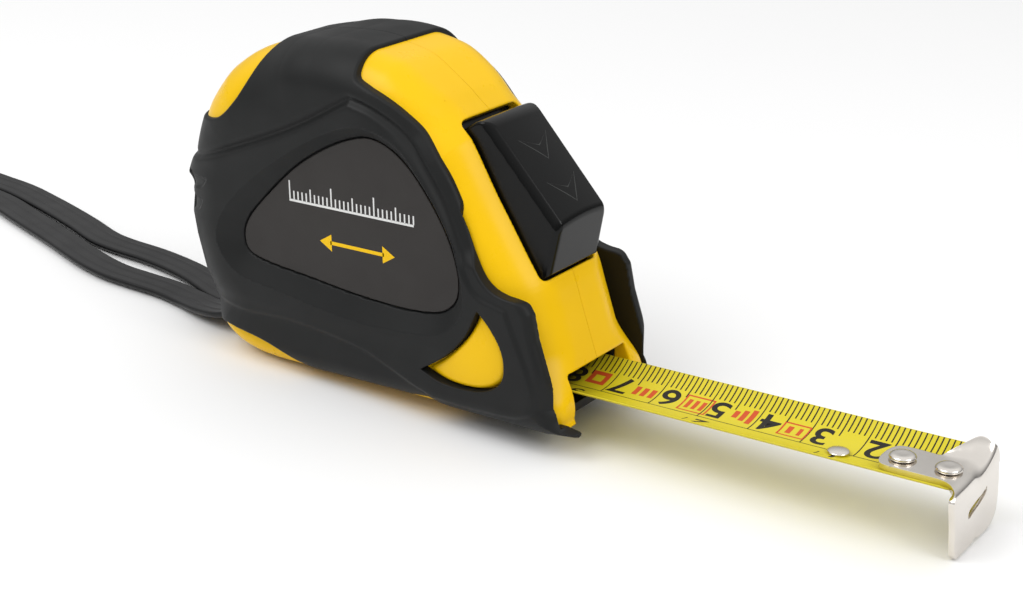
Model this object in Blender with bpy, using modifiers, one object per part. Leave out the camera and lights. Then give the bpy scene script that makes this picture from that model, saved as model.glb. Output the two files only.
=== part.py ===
"""A 5 m pocket tape measure: case shells, grips, lock, drum, blade, hook, clip and wrist strap.

Metres, +Z up. The blade comes out along +X. The origin is on the flat base. The blade is 80 mm out.
"""
import math

import bmesh
import bpy
from mathutils import Matrix, Vector

# Case: a round body with a nose, seen from the side (X, Z), and its layers across the width (Y).
BODY_X, BODY_Z = -0.0117, 0.0283
SHELL_R = 0.0376
GRIP_R = 0.0387
SHELL_HALF = 0.0156
GRIP_HALF = 0.0180
WALL = 0.0018
ROUND = 0.0009
GAP = 0.0003
SEAM_Y, SEAM_GAP = 0.0012, 0.0003

# Blade: 19 mm wide, curved across, lowest point BLADE_Z, printed zero at HOOK_X.
BLADE_HALF = 0.0089
BLADE_R = 0.0151
BLADE_T = 0.0003
BLADE_END = 0.0010
BLADE_Z = 0.0040
HOOK_X = 0.1100
MOUTH_X = 0.0385
MOUTH_HALF = 0.0096
MOUTH_TOP = 0.0100

# Drum and its coil of about 5 m of blade.
DRUM_X, DRUM_Z = -0.0115, 0.0320
COIL_R, COIL_CORE = 0.0246, 0.0192
COIL_HALF = 0.0095
POST_R = 0.0036

# Lock: it slides on the straight front face, from the slot's lower edge upwards.
SLOT_X, SLOT_Z = 0.0335, 0.0262
SLOT_UP = Vector((-0.541, 0.841))
SLOT_OUT = Vector((0.841, 0.541))
SLOT_LENGTH = 0.0320
SLOT_HALF = 0.0087
BUTTON_HALF = 0.0083

# Hook.
HOOK_T = 0.0012
BEND_OUTER, BEND_INNER = 0.0020, 0.0005
HOOK_NEAR, HOOK_FAR = -0.0082, 0.0102
HOOK_LOW = -0.0066
TONGUE_HALF = 0.0044
TONGUE_Z = 0.00515
TONGUE_T = 0.0008
RIVETS = {"rivet_front": 0.1058, "rivet_rear": 0.0977}
HEAD_R = 0.00225
FLOAT = 0.0005

# Case screws: direction from the drum's centre in degrees, at SCREW_OUT; the last one is in the nose.
SCREW_OUT = 0.0285
SCREW_ANGLES = (100, 150, 200)
NOSE_SCREW = (0.0232, 0.0142)
BOSS_R = 0.0026
SCREW_R = 0.0010
SCREW_HEAD_R = 0.0024
BLIND_Y = -0.0100

# Belt clip, on the far side.
CLIP_SCREW = (-0.0060, 0.0400)
CLIP_HALF = 0.0070
CLIP_T = 0.0009
CLIP_GAP = 0.0046

# Wrist strap: a flat band, on the plane that the hook's tip and the case's rear edge rest on.
STRAP_HALF, STRAP_T = 0.0036, 0.0016
REST_SLOPE = 0.0456
REST_Z = -0.00154
STRAP_OUT = (
    (-0.0415, 0.0012, 0.0052), (-0.0455, 0.0010, 0.0036), (-0.0510, 0.0020, 0.0026), (-0.0580, 0.0046, 0),
    (-0.0668, 0.0077, 0), (-0.0746, 0.0096, 0), (-0.0840, 0.0108, 0), (-0.0940, 0.0110, 0),
    (-0.1010, 0.0120, 0), (-0.1105, 0.0152, 0), (-0.1200, 0.0180, 0), (-0.1300, 0.0206, 0),
    (-0.1400, 0.0228, 0),
)
STRAP_BACK = (
    (-0.1380, 0.0144, 0), (-0.1240, 0.0103, 0), (-0.1095, 0.0060, 0), (-0.1015, 0.0034, 0),
    (-0.0920, 0.0004, 0), (-0.0840, -0.0012, 0), (-0.0770, -0.0014, 0), (-0.0680, -0.0014, 0),
    (-0.0600, -0.0026, 0), (-0.0530, -0.0048, 0.0026), (-0.0465, -0.0064, 0.0036), (-0.0415, -0.0066, 0.0052),
)
LOOP_START = Vector((-0.1500, 0.0195))
LOOP_HEADING = Vector((-0.995, -0.100))
LOOP_END = ((0.0, 0.0042), (0.010, 0.0062), (0.020, 0.0105), (0.030, 0.0150))
LOOP_CENTRE, LOOP_R = 0.040, 0.017

YELLOW = ((0.94, 0.60, 0.02, 1), 0.3, 0.0)
RUBBER = ((0.028, 0.030, 0.031, 1), 0.55, 0.0)
BLACK = ((0.012, 0.012, 0.013, 1), 0.25, 0.0)
LABEL = ((0.045, 0.041, 0.038, 1), 0.45, 0.0)
STEEL = ((0.72, 0.70, 0.67, 1), 0.22, 1.0)
SPRING = ((0.25, 0.26, 0.30, 1), 0.35, 1.0)
BLADE = ((0.80, 0.72, 0.03, 1), 0.35, 0.0)

for old in list(bpy.data.objects):
    bpy.data.objects.remove(old, do_unlink=True)
parts = bpy.data.collections.new("tape_measure")
cutters = bpy.data.collections.new("cutters")
for group in (parts, cutters):
    bpy.context.scene.collection.children.link(group)

AXES = {
    "X": Matrix(((0, 0, 1, 0), (1, 0, 0, 0), (0, 1, 0, 0), (0, 0, 0, 1))),
    "Y": Matrix(((1, 0, 0, 0), (0, 0, -1, 0), (0, 1, 0, 0), (0, 0, 0, 1))),
    "Z": Matrix.Identity(4),
}


def material(name, look):
    colour, rough, metal = look
    made = bpy.data.materials.get(name) or bpy.data.materials.new(name)
    made.use_nodes = True
    shader = made.node_tree.nodes["Principled BSDF"]
    shader.inputs["Base Color"].default_value = colour
    shader.inputs["Roughness"].default_value = rough
    shader.inputs["Metallic"].default_value = metal
    return made


def add(name, mesh, look=None):
    """A part with its material, or, with no look, a cutter."""
    made = bpy.data.objects.new(name, mesh)
    if look is None:
        cutters.objects.link(made)
        made.hide_render = True
        made.display_type = "WIRE"
    else:
        parts.objects.link(made)
        mesh.materials.clear()
        mesh.materials.append(material(name, look))
    return made


def prism(name, outline, low, high, axis="Y", look=None, bevel=0.0, segments=2):
    """An outline in the plane across the axis, drawn from low to high along the axis."""
    curve = bpy.data.curves.new(name, "CURVE")
    curve.dimensions = "2D"
    curve.fill_mode = "BOTH"
    curve.extrude = (high - low) / 2
    spline = curve.splines.new("POLY")
    spline.points.add(len(outline) - 1)
    for point, (u, v) in zip(spline.points, outline):
        point.co = (u, v, 0, 1)
    spline.use_cyclic_u = True
    source = bpy.data.objects.new(name + "_curve", curve)
    bpy.context.scene.collection.objects.link(source)
    depsgraph = bpy.context.evaluated_depsgraph_get()
    mesh = bpy.data.meshes.new_from_object(source.evaluated_get(depsgraph))
    bpy.data.objects.remove(source, do_unlink=True)
    shape = bmesh.new()
    shape.from_mesh(mesh)
    bmesh.ops.remove_doubles(shape, verts=shape.verts, dist=1e-6)
    shape.transform(AXES[axis])
    middle = Vector([(low + high) / 2 if letter == axis else 0 for letter in "XYZ"])
    bmesh.ops.translate(shape, verts=shape.verts, vec=middle)
    bmesh.ops.recalc_face_normals(shape, faces=shape.faces)
    shape.to_mesh(mesh)
    shape.free()
    made = add(name, mesh, look)
    if bevel:
        rounding = made.modifiers.new("edge", "BEVEL")
        rounding.width = bevel
        rounding.segments = segments
        rounding.limit_method = "ANGLE"
        rounding.angle_limit = math.radians(50)
        rounding.use_clamp_overlap = False
    return made


def box(name, low, high, look=None):
    shape = bmesh.new()
    bmesh.ops.create_cube(shape, size=1)
    size = Vector(high) - Vector(low)
    bmesh.ops.scale(shape, verts=shape.verts, vec=size)
    bmesh.ops.translate(shape, verts=shape.verts, vec=(Vector(low) + Vector(high)) / 2)
    mesh = bpy.data.meshes.new(name)
    shape.to_mesh(mesh)
    shape.free()
    return add(name, mesh, look)


def turned(name, profile, place, axis="Y", look=None, steps=32):
    """A turned shape: the profile's (radius, height) points, with heights along the axis."""
    mesh = bpy.data.meshes.new(name)
    closed = profile[0][0] > 0
    edges = [(i, i + 1) for i in range(len(profile) - 1)] + ([(len(profile) - 1, 0)] if closed else [])
    mesh.from_pydata([(r, 0, h) for r, h in profile], edges, [])
    made = add(name, mesh, look)
    spin = made.modifiers.new("turn", "SCREW")
    spin.steps = spin.render_steps = steps
    spin.use_merge_vertices = True
    spin.merge_threshold = 0.00001
    made.rotation_euler = (-math.pi / 2, 0, 0) if axis == "Y" else (0, 0, 0)
    made.location = place
    return made


def rod(name, radius, low, high, place, axis="Y", look=None, steps=16):
    profile = ((0, high), (radius, high), (radius, low), (0, low))
    return turned(name, profile, place, axis, look, steps)


def combine(target, other, operation="DIFFERENCE"):
    step = target.modifiers.new(other.name, "BOOLEAN")
    step.operation = operation
    step.solver = "EXACT"
    step.object = other


def arc(radius, start, end, x=BODY_X, z=BODY_Z, step=6):
    count = max(2, round(abs(end - start) / step))
    angles = [math.radians(start + (end - start) * i / count) for i in range(count + 1)]
    return [(x + radius * math.cos(a), z + radius * math.sin(a)) for a in angles]


def on_slot(up, out):
    """A point of the lock's sliding plane: up the slope, and out from the front face, in metres."""
    place = Vector((SLOT_X, SLOT_Z)) + up * SLOT_UP + out * SLOT_OUT
    return tuple(place)


def body_outline(grow=0.0):
    """The yellow shells' side outline, grown or shrunk all round."""
    points = arc(SHELL_R + grow, 39.5, 225)
    points += [(-0.0340 - grow / 2, -grow), (0.0160, -grow), (0.0175, 0.0023 - grow)]
    points += [(0.0400 + grow, 0.0023 - grow), (0.0412 + grow, 0.0036), (0.0389 + grow, MOUTH_TOP)]
    points += [on_slot(0, grow), on_slot(SLOT_LENGTH - 0.0015, grow)]
    return points


def cavity_outline():
    points = arc(SHELL_R - WALL, 40, 222)
    points += [(-0.0345, WALL), (0.0150, WALL), (0.0150, MOUTH_TOP - 0.0004), (0.0366, MOUTH_TOP - 0.0004)]
    points += [on_slot(0, -WALL), on_slot(SLOT_LENGTH - 0.0015, -WALL)]
    return points


def grip_outline():
    """What the grip covers, leaving a rear crescent, the front band and a lower crescent open."""
    points = arc(GRIP_R, 75, 101)
    points += [(-0.0203, 0.0625), (-0.0247, 0.0590), (-0.0286, 0.0537), (-0.0332, 0.0493), (-0.0400, 0.0465)]
    points += arc(GRIP_R, 152, 210)
    points += [(-0.0415, 0.0062), (-0.0345, 0.0068), (-0.0270, 0.0052), (-0.0210, 0.0028), (-0.0160, 0.0006)]
    points += [(0.0110, 0.0012), (0.0135, 0.0002), (0.0160, 0.0), (0.0380, 0.0), (0.0453, 0.0009)]
    points += [(0.0453, 0.0021), (0.0412, 0.0023), (0.0410, 0.0040), (0.0387, 0.0110), (0.0362, 0.0182)]
    points += [(0.0352, 0.0233), (0.0335, 0.0255), (0.0296, 0.0264), (0.0259, 0.0312), (0.0224, 0.0393)]
    points += [(0.0178, 0.0472), (0.0119, 0.0533), (0.0059, 0.0575), (-0.0012, 0.0605)]
    return points


LABEL_OUTLINE = (
    (-0.0308, 0.0265), (-0.0290, 0.0295), (-0.0236, 0.0354), (-0.0170, 0.0413), (-0.0100, 0.0456),
    (-0.0026, 0.0485), (0.0012, 0.0491), (0.0056, 0.0477), (0.0099, 0.0446), (0.0140, 0.0397),
    (0.0175, 0.0341), (0.0195, 0.0287), (0.0197, 0.0246), (0.0187, 0.0215), (0.0152, 0.0189),
    (0.0075, 0.0181), (-0.0042, 0.0186), (-0.0150, 0.0198), (-0.0254, 0.0208), (-0.0303, 0.0221),
)
FIN_OUTLINE = (
    (0.0254, 0.0215), (0.0222, 0.0161), (0.0174, 0.0113), (0.0126, 0.0080), (0.0174, 0.0067),
    (0.0254, 0.0071), (0.0294, 0.0092), (0.0305, 0.0121), (0.0299, 0.0157), (0.0275, 0.0194),
)


def grown(outline, by):
    """An outline moved out from its middle by about a distance."""
    middle = sum((Vector(p) for p in outline), Vector((0, 0))) / len(outline)
    return [tuple(Vector(p) + (Vector(p) - middle).normalized() * by) for p in outline]


def screw_places():
    places = []
    for angle in SCREW_ANGLES:
        turn = math.radians(angle)
        places.append((DRUM_X + SCREW_OUT * math.cos(turn), DRUM_Z + SCREW_OUT * math.sin(turn)))
    return places + [NOSE_SCREW]


def slot_frame_prism(name, points, half, look=None, bevel=0.0):
    return prism(name, [on_slot(up, out) for up, out in points], -half, half, "Y", look, bevel)


def case_cutters():
    """What both shells lose: the mouth, the lock's slot and the strap's slot in the rear corner."""
    channel = ((0.0140, WALL), (0.0160, WALL), (0.0160, -0.002))
    channel += ((0.050, -0.002), (0.050, MOUTH_TOP), (0.0140, MOUTH_TOP))
    mouth = prism("mouth_cut", channel, -MOUTH_HALF, MOUTH_HALF)
    opening = ((0.0002, -0.0035), (0.0002, 0.01), (SLOT_LENGTH, 0.01), (SLOT_LENGTH, -0.0035))
    slot = slot_frame_prism("slot_cut", opening, SLOT_HALF)
    corner = ((-0.0450, 0.0015), (-0.0355, 0.0085), (-0.0380, 0.0119), (-0.0475, 0.0049))
    strap = prism("strap_cut", corner, -0.0112, 0.0058)
    return mouth, slot, strap


def other_half(name, side):
    """What lies beyond the centre plane, for a shell or grip on one side of it."""
    low, high = sorted((SEAM_Y + side * SEAM_GAP / 2, -side * 0.030))
    return box(name + "_beyond", (-0.070, low, -0.010), (0.070, high, 0.090))


def case_shell(name, side, cuts):
    shell = prism(name, body_outline(), -SHELL_HALF, SHELL_HALF, "Y", YELLOW, ROUND)
    cavity = prism(name + "_cavity", cavity_outline(), -SHELL_HALF + WALL, SHELL_HALF - WALL, "Y")
    combine(shell, cavity)
    bore = SCREW_R + GAP
    for number, (x, z) in enumerate(screw_places(), 1):
        if side > 0:
            boss = rod(f"{name}_boss_{number}", BOSS_R, -0.0005, SHELL_HALF - 0.0010, (x, 0, z))
        else:
            foot = 0.0010 - SHELL_HALF
            profile = ((0, BLIND_Y), (bore, BLIND_Y), (bore, 0.0020))
            profile += ((BOSS_R, 0.0020), (BOSS_R, foot), (0, foot))
            boss = turned(f"{name}_boss_{number}", profile, (x, 0, z), steps=16)
        combine(shell, boss, "UNION")
    for cut in cuts:
        combine(shell, cut)
    fin = prism(name + "_fin", grown(FIN_OUTLINE, -GAP), *sorted((side * 0.0150, side * 0.0172)))
    combine(shell, fin, "UNION")
    if side > 0:
        for number, (x, z) in enumerate(screw_places(), 1):
            combine(shell, rod(f"{name}_bore_{number}", bore, -0.0020, 0.0200, (x, 0, z)))
        x, z = NOSE_SCREW
        combine(shell, rod("fin_head_bore", SCREW_HEAD_R + GAP, 0.0157, 0.0200, (x, 0, z)))
        combine(shell, rod("clip_bore", bore, 0.0100, 0.0200, (CLIP_SCREW[0], 0, CLIP_SCREW[1])))
    combine(shell, other_half(name, side))
    return shell


def grip(name, side, cuts):
    skin = prism(name, grip_outline(), -GRIP_HALF, GRIP_HALF, "Y", RUBBER)
    envelope = arc(GRIP_R, 37, 225) + [(-0.0345, 0.0), (0.0460, 0.0), (0.0460, 0.0100), (0.0375, 0.0330)]
    rounded = prism(name + "_round", envelope, -GRIP_HALF, GRIP_HALF, "Y", None, ROUND)
    combine(skin, rounded, "INTERSECT")
    inside = prism(name + "_inside", body_outline(GAP), -SHELL_HALF - GAP, SHELL_HALF + GAP, "Y", None, ROUND)
    combine(skin, inside)
    front = ((-0.0018, 0.0750), (-0.0018, 0.0500), (0.0250, 0.0200))
    front += ((0.0250, 0.0026), (0.0600, 0.0026), (0.0600, 0.0750))
    combine(skin, prism(name + "_front", front, -SHELL_HALF, SHELL_HALF))
    combine(skin, box(name + "_middle", (-0.060, -0.0104, -0.010), (0.050, 0.0104, 0.0026)))
    recess = sorted((side * 0.0166, side * 0.0200))
    combine(skin, prism(name + "_recess", grown(LABEL_OUTLINE, GAP), *recess))
    combine(skin, prism(name + "_fin_window", FIN_OUTLINE, *sorted((side * 0.0120, side * 0.0200))))
    for cut in cuts:
        combine(skin, cut)
    if side > 0:
        for number, (x, z) in enumerate(screw_places(), 1):
            combine(skin, rod(f"grip_hole_{number}", SCREW_HEAD_R + GAP, 0.0100, 0.0200, (x, 0, z)))
        combine(skin, rod("grip_clip_hole", SCREW_R + GAP, 0.0100, 0.0200, (CLIP_SCREW[0], 0, CLIP_SCREW[1])))
    combine(skin, other_half(name, side))
    return skin


def labels():
    prism("label_left", LABEL_OUTLINE, -0.0175, -0.0169, "Y", LABEL)
    right = prism("label_right", LABEL_OUTLINE, 0.0169, 0.0175, "Y", LABEL)
    combine(right, rod("label_hole", SCREW_R + GAP, 0.0100, 0.0200, (CLIP_SCREW[0], 0, CLIP_SCREW[1])))


def lock():
    points = ((0.0007, -0.0023), (0.0007, 0.0010), (0.0067, 0.0071))
    points += ((0.0300, 0.0034), (0.0309, 0.0026), (0.0309, -0.0023))
    slot_frame_prism("lock_button", points, BUTTON_HALF, BLACK, 0.0008)
    arm = [(0.0285, 0.0097), (0.0330, 0.0097), (0.0304, 0.0220), on_slot(0.0020, -0.0026)]
    arm += [on_slot(0.0280, -0.0026), on_slot(0.0280, -0.0042), on_slot(0.0010, -0.0042), (0.0278, 0.0190)]
    prism("lock_arm", arm, -0.0055, 0.0055, "Y", BLACK)
    shoe = ((0.0275, 0.0073), (0.0335, 0.0073), (0.0335, 0.0088), (0.0328, 0.0094), (0.0275, 0.0094))
    prism("brake_shoe", shoe, -0.0088, 0.0088, "Y", RUBBER)


def drum():
    place = (DRUM_X, 0, DRUM_Z)
    hub = ((0.0188, 0.0094), (0.0188, -0.0094), (0.0176, -0.0094), (0.0176, 0.0082))
    hub += ((0.0060, 0.0082), (0.0060, -0.0040), (0.0040, -0.0040), (0.0040, 0.0094))
    turned("drum", hub, place, "Y", BLACK)
    cover = ((0.0188, -0.0098), (0.0188, -0.0106), (0.0041, -0.0106), (0.0041, -0.0098))
    turned("drum_cover", cover, place, "Y", SPRING)
    coil = ((COIL_R, COIL_HALF), (COIL_R, -COIL_HALF), (COIL_CORE, -COIL_HALF), (COIL_CORE, COIL_HALF))
    turned("blade_coil", coil, place, "Y", BLADE, 48)
    post = rod("centre_post", POST_R, -0.0135, 0.0135, place, "Y", STEEL, 24)
    low, high = (DRUM_X - 0.010, -0.0140, DRUM_Z - 0.0004), (DRUM_X + 0.010, -0.0050, DRUM_Z + 0.0004)
    combine(post, box("post_slot", low, high))
    spiral(place)


def spiral(place):
    """The power spring: a flat steel strip, wound inside the drum."""
    turns, first, last, thick = 5, 0.0068, 0.0162, 0.0004
    count = 18 * turns
    outer, inner = [], []
    for i in range(count + 1):
        angle = 2 * math.pi * turns * i / count
        radius = first + (last - first) * i / count
        for side, points in ((thick, outer), (-thick, inner)):
            reach = radius + side
            points.append((place[0] + reach * math.cos(angle), place[2] + reach * math.sin(angle)))
    prism("power_spring", outer + inner[::-1], -0.0075, 0.0078, "Y", SPRING)


def case_screws():
    for number, (x, z) in enumerate(screw_places(), 1):
        profile = ((0, 0.0164), (0.0012, 0.0164), (0.0018, 0.0172), (SCREW_HEAD_R, 0.0168))
        profile += ((SCREW_HEAD_R, 0.0159), (SCREW_R, 0.0159), (SCREW_R, -0.0090), (0, -0.0094))
        turned(f"case_screw_{number}", profile, (x, 0, z), "Y", STEEL, 20)


def strip_section(radius_low, half, thick, base):
    """A strip curved across, hollow side up: (Y, Z) points of its closed outline."""
    limit = math.asin(half / BLADE_R)
    low, high = [], []
    for i in range(13):
        angle = -limit + 2 * limit * i / 12
        for radius, points in ((radius_low, low), (radius_low - thick, high)):
            points.append((radius * math.sin(angle), base + BLADE_R - radius * math.cos(angle)))
    return low + high[::-1]


def blade():
    section = strip_section(BLADE_R + BLADE_T / 2, BLADE_HALF, BLADE_T, BLADE_Z)
    strip = prism("blade", section, MOUTH_X + 0.0001, HOOK_X - BLADE_END, "X", BLADE)
    for name, x in RIVETS.items():
        combine(strip, rod(name + "_hole", 0.0014, 0.0, 0.010, (x, 0, 0), "Z"))
    combine(strip, rod("mark_hole", 0.0012, 0.0, 0.010, (0.0876, -0.0013, 0), "Z"))
    prism("blade_run", section, 0.0020, MOUTH_X - 0.0003, "X", BLADE)
    lead = ((-0.0108, 0.0068), (-0.0040, 0.0065), (0.0016, 0.0060))
    lead += ((0.0016, 0.0057), (-0.0040, 0.0062), (-0.0108, 0.0065))
    prism("blade_lead", lead, -0.0093, 0.0093, "Y", BLADE)


def rivets():
    for name, x in RIVETS.items():
        head = TONGUE_Z + TONGUE_T + GAP
        profile = ((0, head + 0.0008), (0.0012, head + 0.0007), (0.0020, head + 0.0004), (HEAD_R, head))
        profile += ((0.0011, head), (0.0011, 0.0035), (0.0018, 0.0035), (0.0015, 0.0027), (0, 0.0027))
        turned(name, profile, (x, 0, 0), "Z", STEEL, 24)
    profile = ((0, 0.0053), (0.0014, 0.0052), (0.0019, 0.0048), (0.0009, 0.0046))
    profile += ((0.0009, 0.0035), (0.0015, 0.0033), (0.0014, 0.0028), (0, 0.0028))
    turned("mark_rivet", profile, (0.0876, -0.0013, 0), "Z", STEEL, 24)


def hook():
    top = TONGUE_Z + TONGUE_T
    profile = [(0.0952, TONGUE_Z + 0.0002), (0.0960, TONGUE_Z)]
    profile += arc(BEND_INNER, 90, 0, HOOK_X - BEND_INNER, TONGUE_Z - BEND_INNER, 30)
    profile += [(HOOK_X, 0.0), (HOOK_X + HOOK_T, 0.0)]
    profile += arc(BEND_OUTER, 0, 90, HOOK_X + HOOK_T - BEND_OUTER, top - BEND_OUTER, 30)
    profile += [(0.0960, top), (0.0952, top - 0.0002)]
    made = prism("hook", profile, -TONGUE_HALF, TONGUE_HALF, "Y", STEEL)
    plate = (
        (HOOK_NEAR, 0.0046), (HOOK_NEAR + 0.0004, HOOK_LOW + 0.0020), (-0.0064, HOOK_LOW), (0.0016, HOOK_LOW),
        (0.0024, HOOK_LOW + 0.0005), (0.0034, HOOK_LOW + 0.0001), (0.0080, HOOK_LOW + 0.0001),
        (0.0096, HOOK_LOW + 0.0008), (HOOK_FAR, HOOK_LOW + 0.0022), (HOOK_FAR, 0.0048), (0.0096, 0.0068),
        (0.0084, 0.0078), (0.0060, 0.0070), (0.0042, 0.0050), (-0.0042, 0.0050), (-0.0074, 0.0052),
    )
    combine(made, prism("hook_plate", plate, HOOK_X, HOOK_X + HOOK_T, "X"), "UNION")
    combine(made, hook_wing(), "UNION")
    nail = ((-0.0021, -0.0009), (0.0048, 0.0006), (0.0054, 0.0018), (-0.0017, 0.0006))
    combine(made, prism("nail_slot", nail, HOOK_X - 0.002, HOOK_X + 0.004, "X"))
    for name, x in RIVETS.items():
        reach = 0.0011 + GAP
        slot = arc(reach, -90, 90, x + FLOAT, 0, 45) + arc(reach, 90, 270, x - FLOAT, 0, 45)
        combine(made, prism(name + "_slot", slot, 0.004, 0.008, "Z"))


def hook_wing():
    """The ear between the tongue's far edge and the plate, rising over the blade's far edge."""
    corners = ((0.1043, 0.0040, 0.0), (0.1083, 0.0084, 0.0032))
    corners += ((0.1108, 0.0090, 0.0016), (0.1108, 0.0, -0.0003))
    low = [(x, y, TONGUE_Z + rise) for x, y, rise in corners]
    high = [(x, y, z + TONGUE_T) for x, y, z in low]
    mesh = bpy.data.meshes.new("hook_wing")
    faces = [(0, 2, 1), (0, 3, 2), (4, 5, 6), (4, 6, 7)]
    faces += [(i, (i + 1) % 4, (i + 1) % 4 + 4, i + 4) for i in range(4)]
    mesh.from_pydata(low + high, [], faces)
    shape = bmesh.new()
    shape.from_mesh(mesh)
    bmesh.ops.recalc_face_normals(shape, faces=shape.faces)
    shape.to_mesh(mesh)
    shape.free()
    return add("hook_wing", mesh)


def belt_clip():
    """A sprung steel strip on the far side, screwed on at its top and open at its lower end."""
    x, z = CLIP_SCREW
    face = GRIP_HALF + GAP
    line = [(face, z + 0.0070), (face, z - 0.0050), (face + CLIP_GAP, z - 0.0110)]
    line += [(face + CLIP_GAP, z - 0.0300), (face + 0.0016, z - 0.0345), (face + 0.0030, z - 0.0370)]
    back = [(y + CLIP_T, zz) for y, zz in line]
    back[1] = (face + CLIP_T, z - 0.0046)
    back[2] = (face + CLIP_GAP + CLIP_T, z - 0.0107)
    clip = prism("belt_clip", line + back[::-1], x - CLIP_HALF, x + CLIP_HALF, "X", STEEL)
    combine(clip, rod("clip_hole", SCREW_R + GAP, 0.0100, 0.0300, (x, 0, z)))
    top = face + CLIP_T + GAP
    profile = ((0, top + 0.0009), (0.0016, top + 0.0008), (SCREW_HEAD_R, top))
    profile += ((SCREW_R, top), (SCREW_R, 0.0122), (0, 0.0118))
    turned("clip_screw", profile, (x, 0, z), "Y", STEEL, 20)


def mouth_guide():
    outline = ((0.0182, 0.0), (0.0380, 0.0), (0.0386, 0.0006), (0.0380, 0.0019), (0.0190, 0.0019))
    prism("mouth_guide", outline, -0.0101, 0.0101, "Y", RUBBER)


def rest_height(x):
    return REST_Z - REST_SLOPE * x


def strap_route():
    """The strap's centre line: out of the rear corner, round an open loop's end and back in beside itself."""
    side = Vector((LOOP_HEADING.y, -LOOP_HEADING.x))
    lateral = list(LOOP_END)
    lateral += arc(LOOP_R, 90, -90, LOOP_CENTRE, 0, 30)
    lateral += [(along, -out) for along, out in reversed(LOOP_END)]
    loop = []
    for along, out in lateral:
        place = LOOP_START + along * LOOP_HEADING + out * side
        loop.append((place.x, place.y, 0))
    route = []
    for x, y, z in list(STRAP_OUT) + loop + list(STRAP_BACK):
        route.append(Vector((x, y, z or rest_height(x) + STRAP_T / 2 + 0.0001)))
    return route


def smooth(points, spacing):
    """Evenly spaced points of a Catmull-Rom curve through the given ones."""
    fine = []
    for i in range(len(points) - 1):
        a, b, c, d = (points[min(max(k, 0), len(points) - 1)] for k in (i - 1, i, i + 1, i + 2))
        for step in range(10):
            t = step / 10
            bend = (2 * a - 5 * b + 4 * c - d) * t * t + (3 * b - 3 * c + d - a) * t ** 3
            fine.append(0.5 * (2 * b + (c - a) * t + bend))
    fine.append(points[-1])
    even, run = [fine[0]], 0.0
    for a, b in zip(fine, fine[1:]):
        run += (b - a).length
        if run >= spacing:
            even.append(b)
            run = 0.0
    even[-1] = fine[-1]
    return even


def wrist_strap():
    """A flat band along the route, lying across it, with chamfered edges."""
    edge = STRAP_T / 4
    section = [(STRAP_HALF, -edge), (STRAP_HALF, edge), (STRAP_HALF - edge, 2 * edge)]
    section += [(edge - STRAP_HALF, 2 * edge), (-STRAP_HALF, edge), (-STRAP_HALF, -edge)]
    section += [(edge - STRAP_HALF, -2 * edge), (STRAP_HALF - edge, -2 * edge)]
    points = smooth(strap_route(), 0.0040)
    upright = Vector((REST_SLOPE, 0, 1)).normalized()
    shape = bmesh.new()
    rings = []
    for i, place in enumerate(points):
        heading = (points[min(i + 1, len(points) - 1)] - points[max(i - 1, 0)]).normalized()
        across = upright.cross(heading).normalized()
        up = heading.cross(across)
        rings.append([shape.verts.new(place + u * across + v * up) for u, v in section])
    for first, second in zip(rings, rings[1:]):
        for k in range(len(section)):
            after = (k + 1) % len(section)
            shape.faces.new((first[k], first[after], second[after], second[k]))
    shape.faces.new(rings[0][::-1])
    shape.faces.new(rings[-1])
    bmesh.ops.recalc_face_normals(shape, faces=shape.faces)
    mesh = bpy.data.meshes.new("wrist_strap")
    shape.to_mesh(mesh)
    shape.free()
    add("wrist_strap", mesh, BLACK)
    rod("strap_pin", 0.0010, -0.0134, 0.0134, (-0.0362, 0, 0.0098), "Y", STEEL)


def build():
    cuts = case_cutters()
    for name, side in (("case_left", -1), ("case_right", 1)):
        case_shell(name, side, cuts)
    for name, side in (("grip_left", -1), ("grip_right", 1)):
        grip(name, side, cuts[1:])
    labels()
    case_screws()
    lock()
    drum()
    blade()
    rivets()
    hook()
    belt_clip()
    mouth_guide()
    wrist_strap()


build()
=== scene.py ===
"""The looks of a 5 m pocket tape measure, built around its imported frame.

The scene is in metres. Fields and outlines are worked out in millimetres.
"""
import math

import bmesh
import bpy
import numpy as np
from mathutils import Matrix, Vector


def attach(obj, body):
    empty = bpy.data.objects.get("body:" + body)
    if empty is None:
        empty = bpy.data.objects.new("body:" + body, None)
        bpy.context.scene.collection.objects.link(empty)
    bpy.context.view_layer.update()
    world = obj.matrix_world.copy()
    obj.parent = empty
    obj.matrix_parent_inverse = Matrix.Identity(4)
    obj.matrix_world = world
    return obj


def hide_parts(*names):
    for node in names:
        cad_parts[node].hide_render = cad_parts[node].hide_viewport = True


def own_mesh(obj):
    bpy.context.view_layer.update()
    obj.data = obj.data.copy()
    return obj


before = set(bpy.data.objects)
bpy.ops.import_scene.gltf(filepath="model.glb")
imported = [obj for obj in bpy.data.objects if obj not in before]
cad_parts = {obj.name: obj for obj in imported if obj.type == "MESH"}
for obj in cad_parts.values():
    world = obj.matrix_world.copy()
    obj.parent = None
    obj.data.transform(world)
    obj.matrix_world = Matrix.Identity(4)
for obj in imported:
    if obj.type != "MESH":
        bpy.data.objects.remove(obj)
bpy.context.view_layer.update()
MM = 0.001

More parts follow.
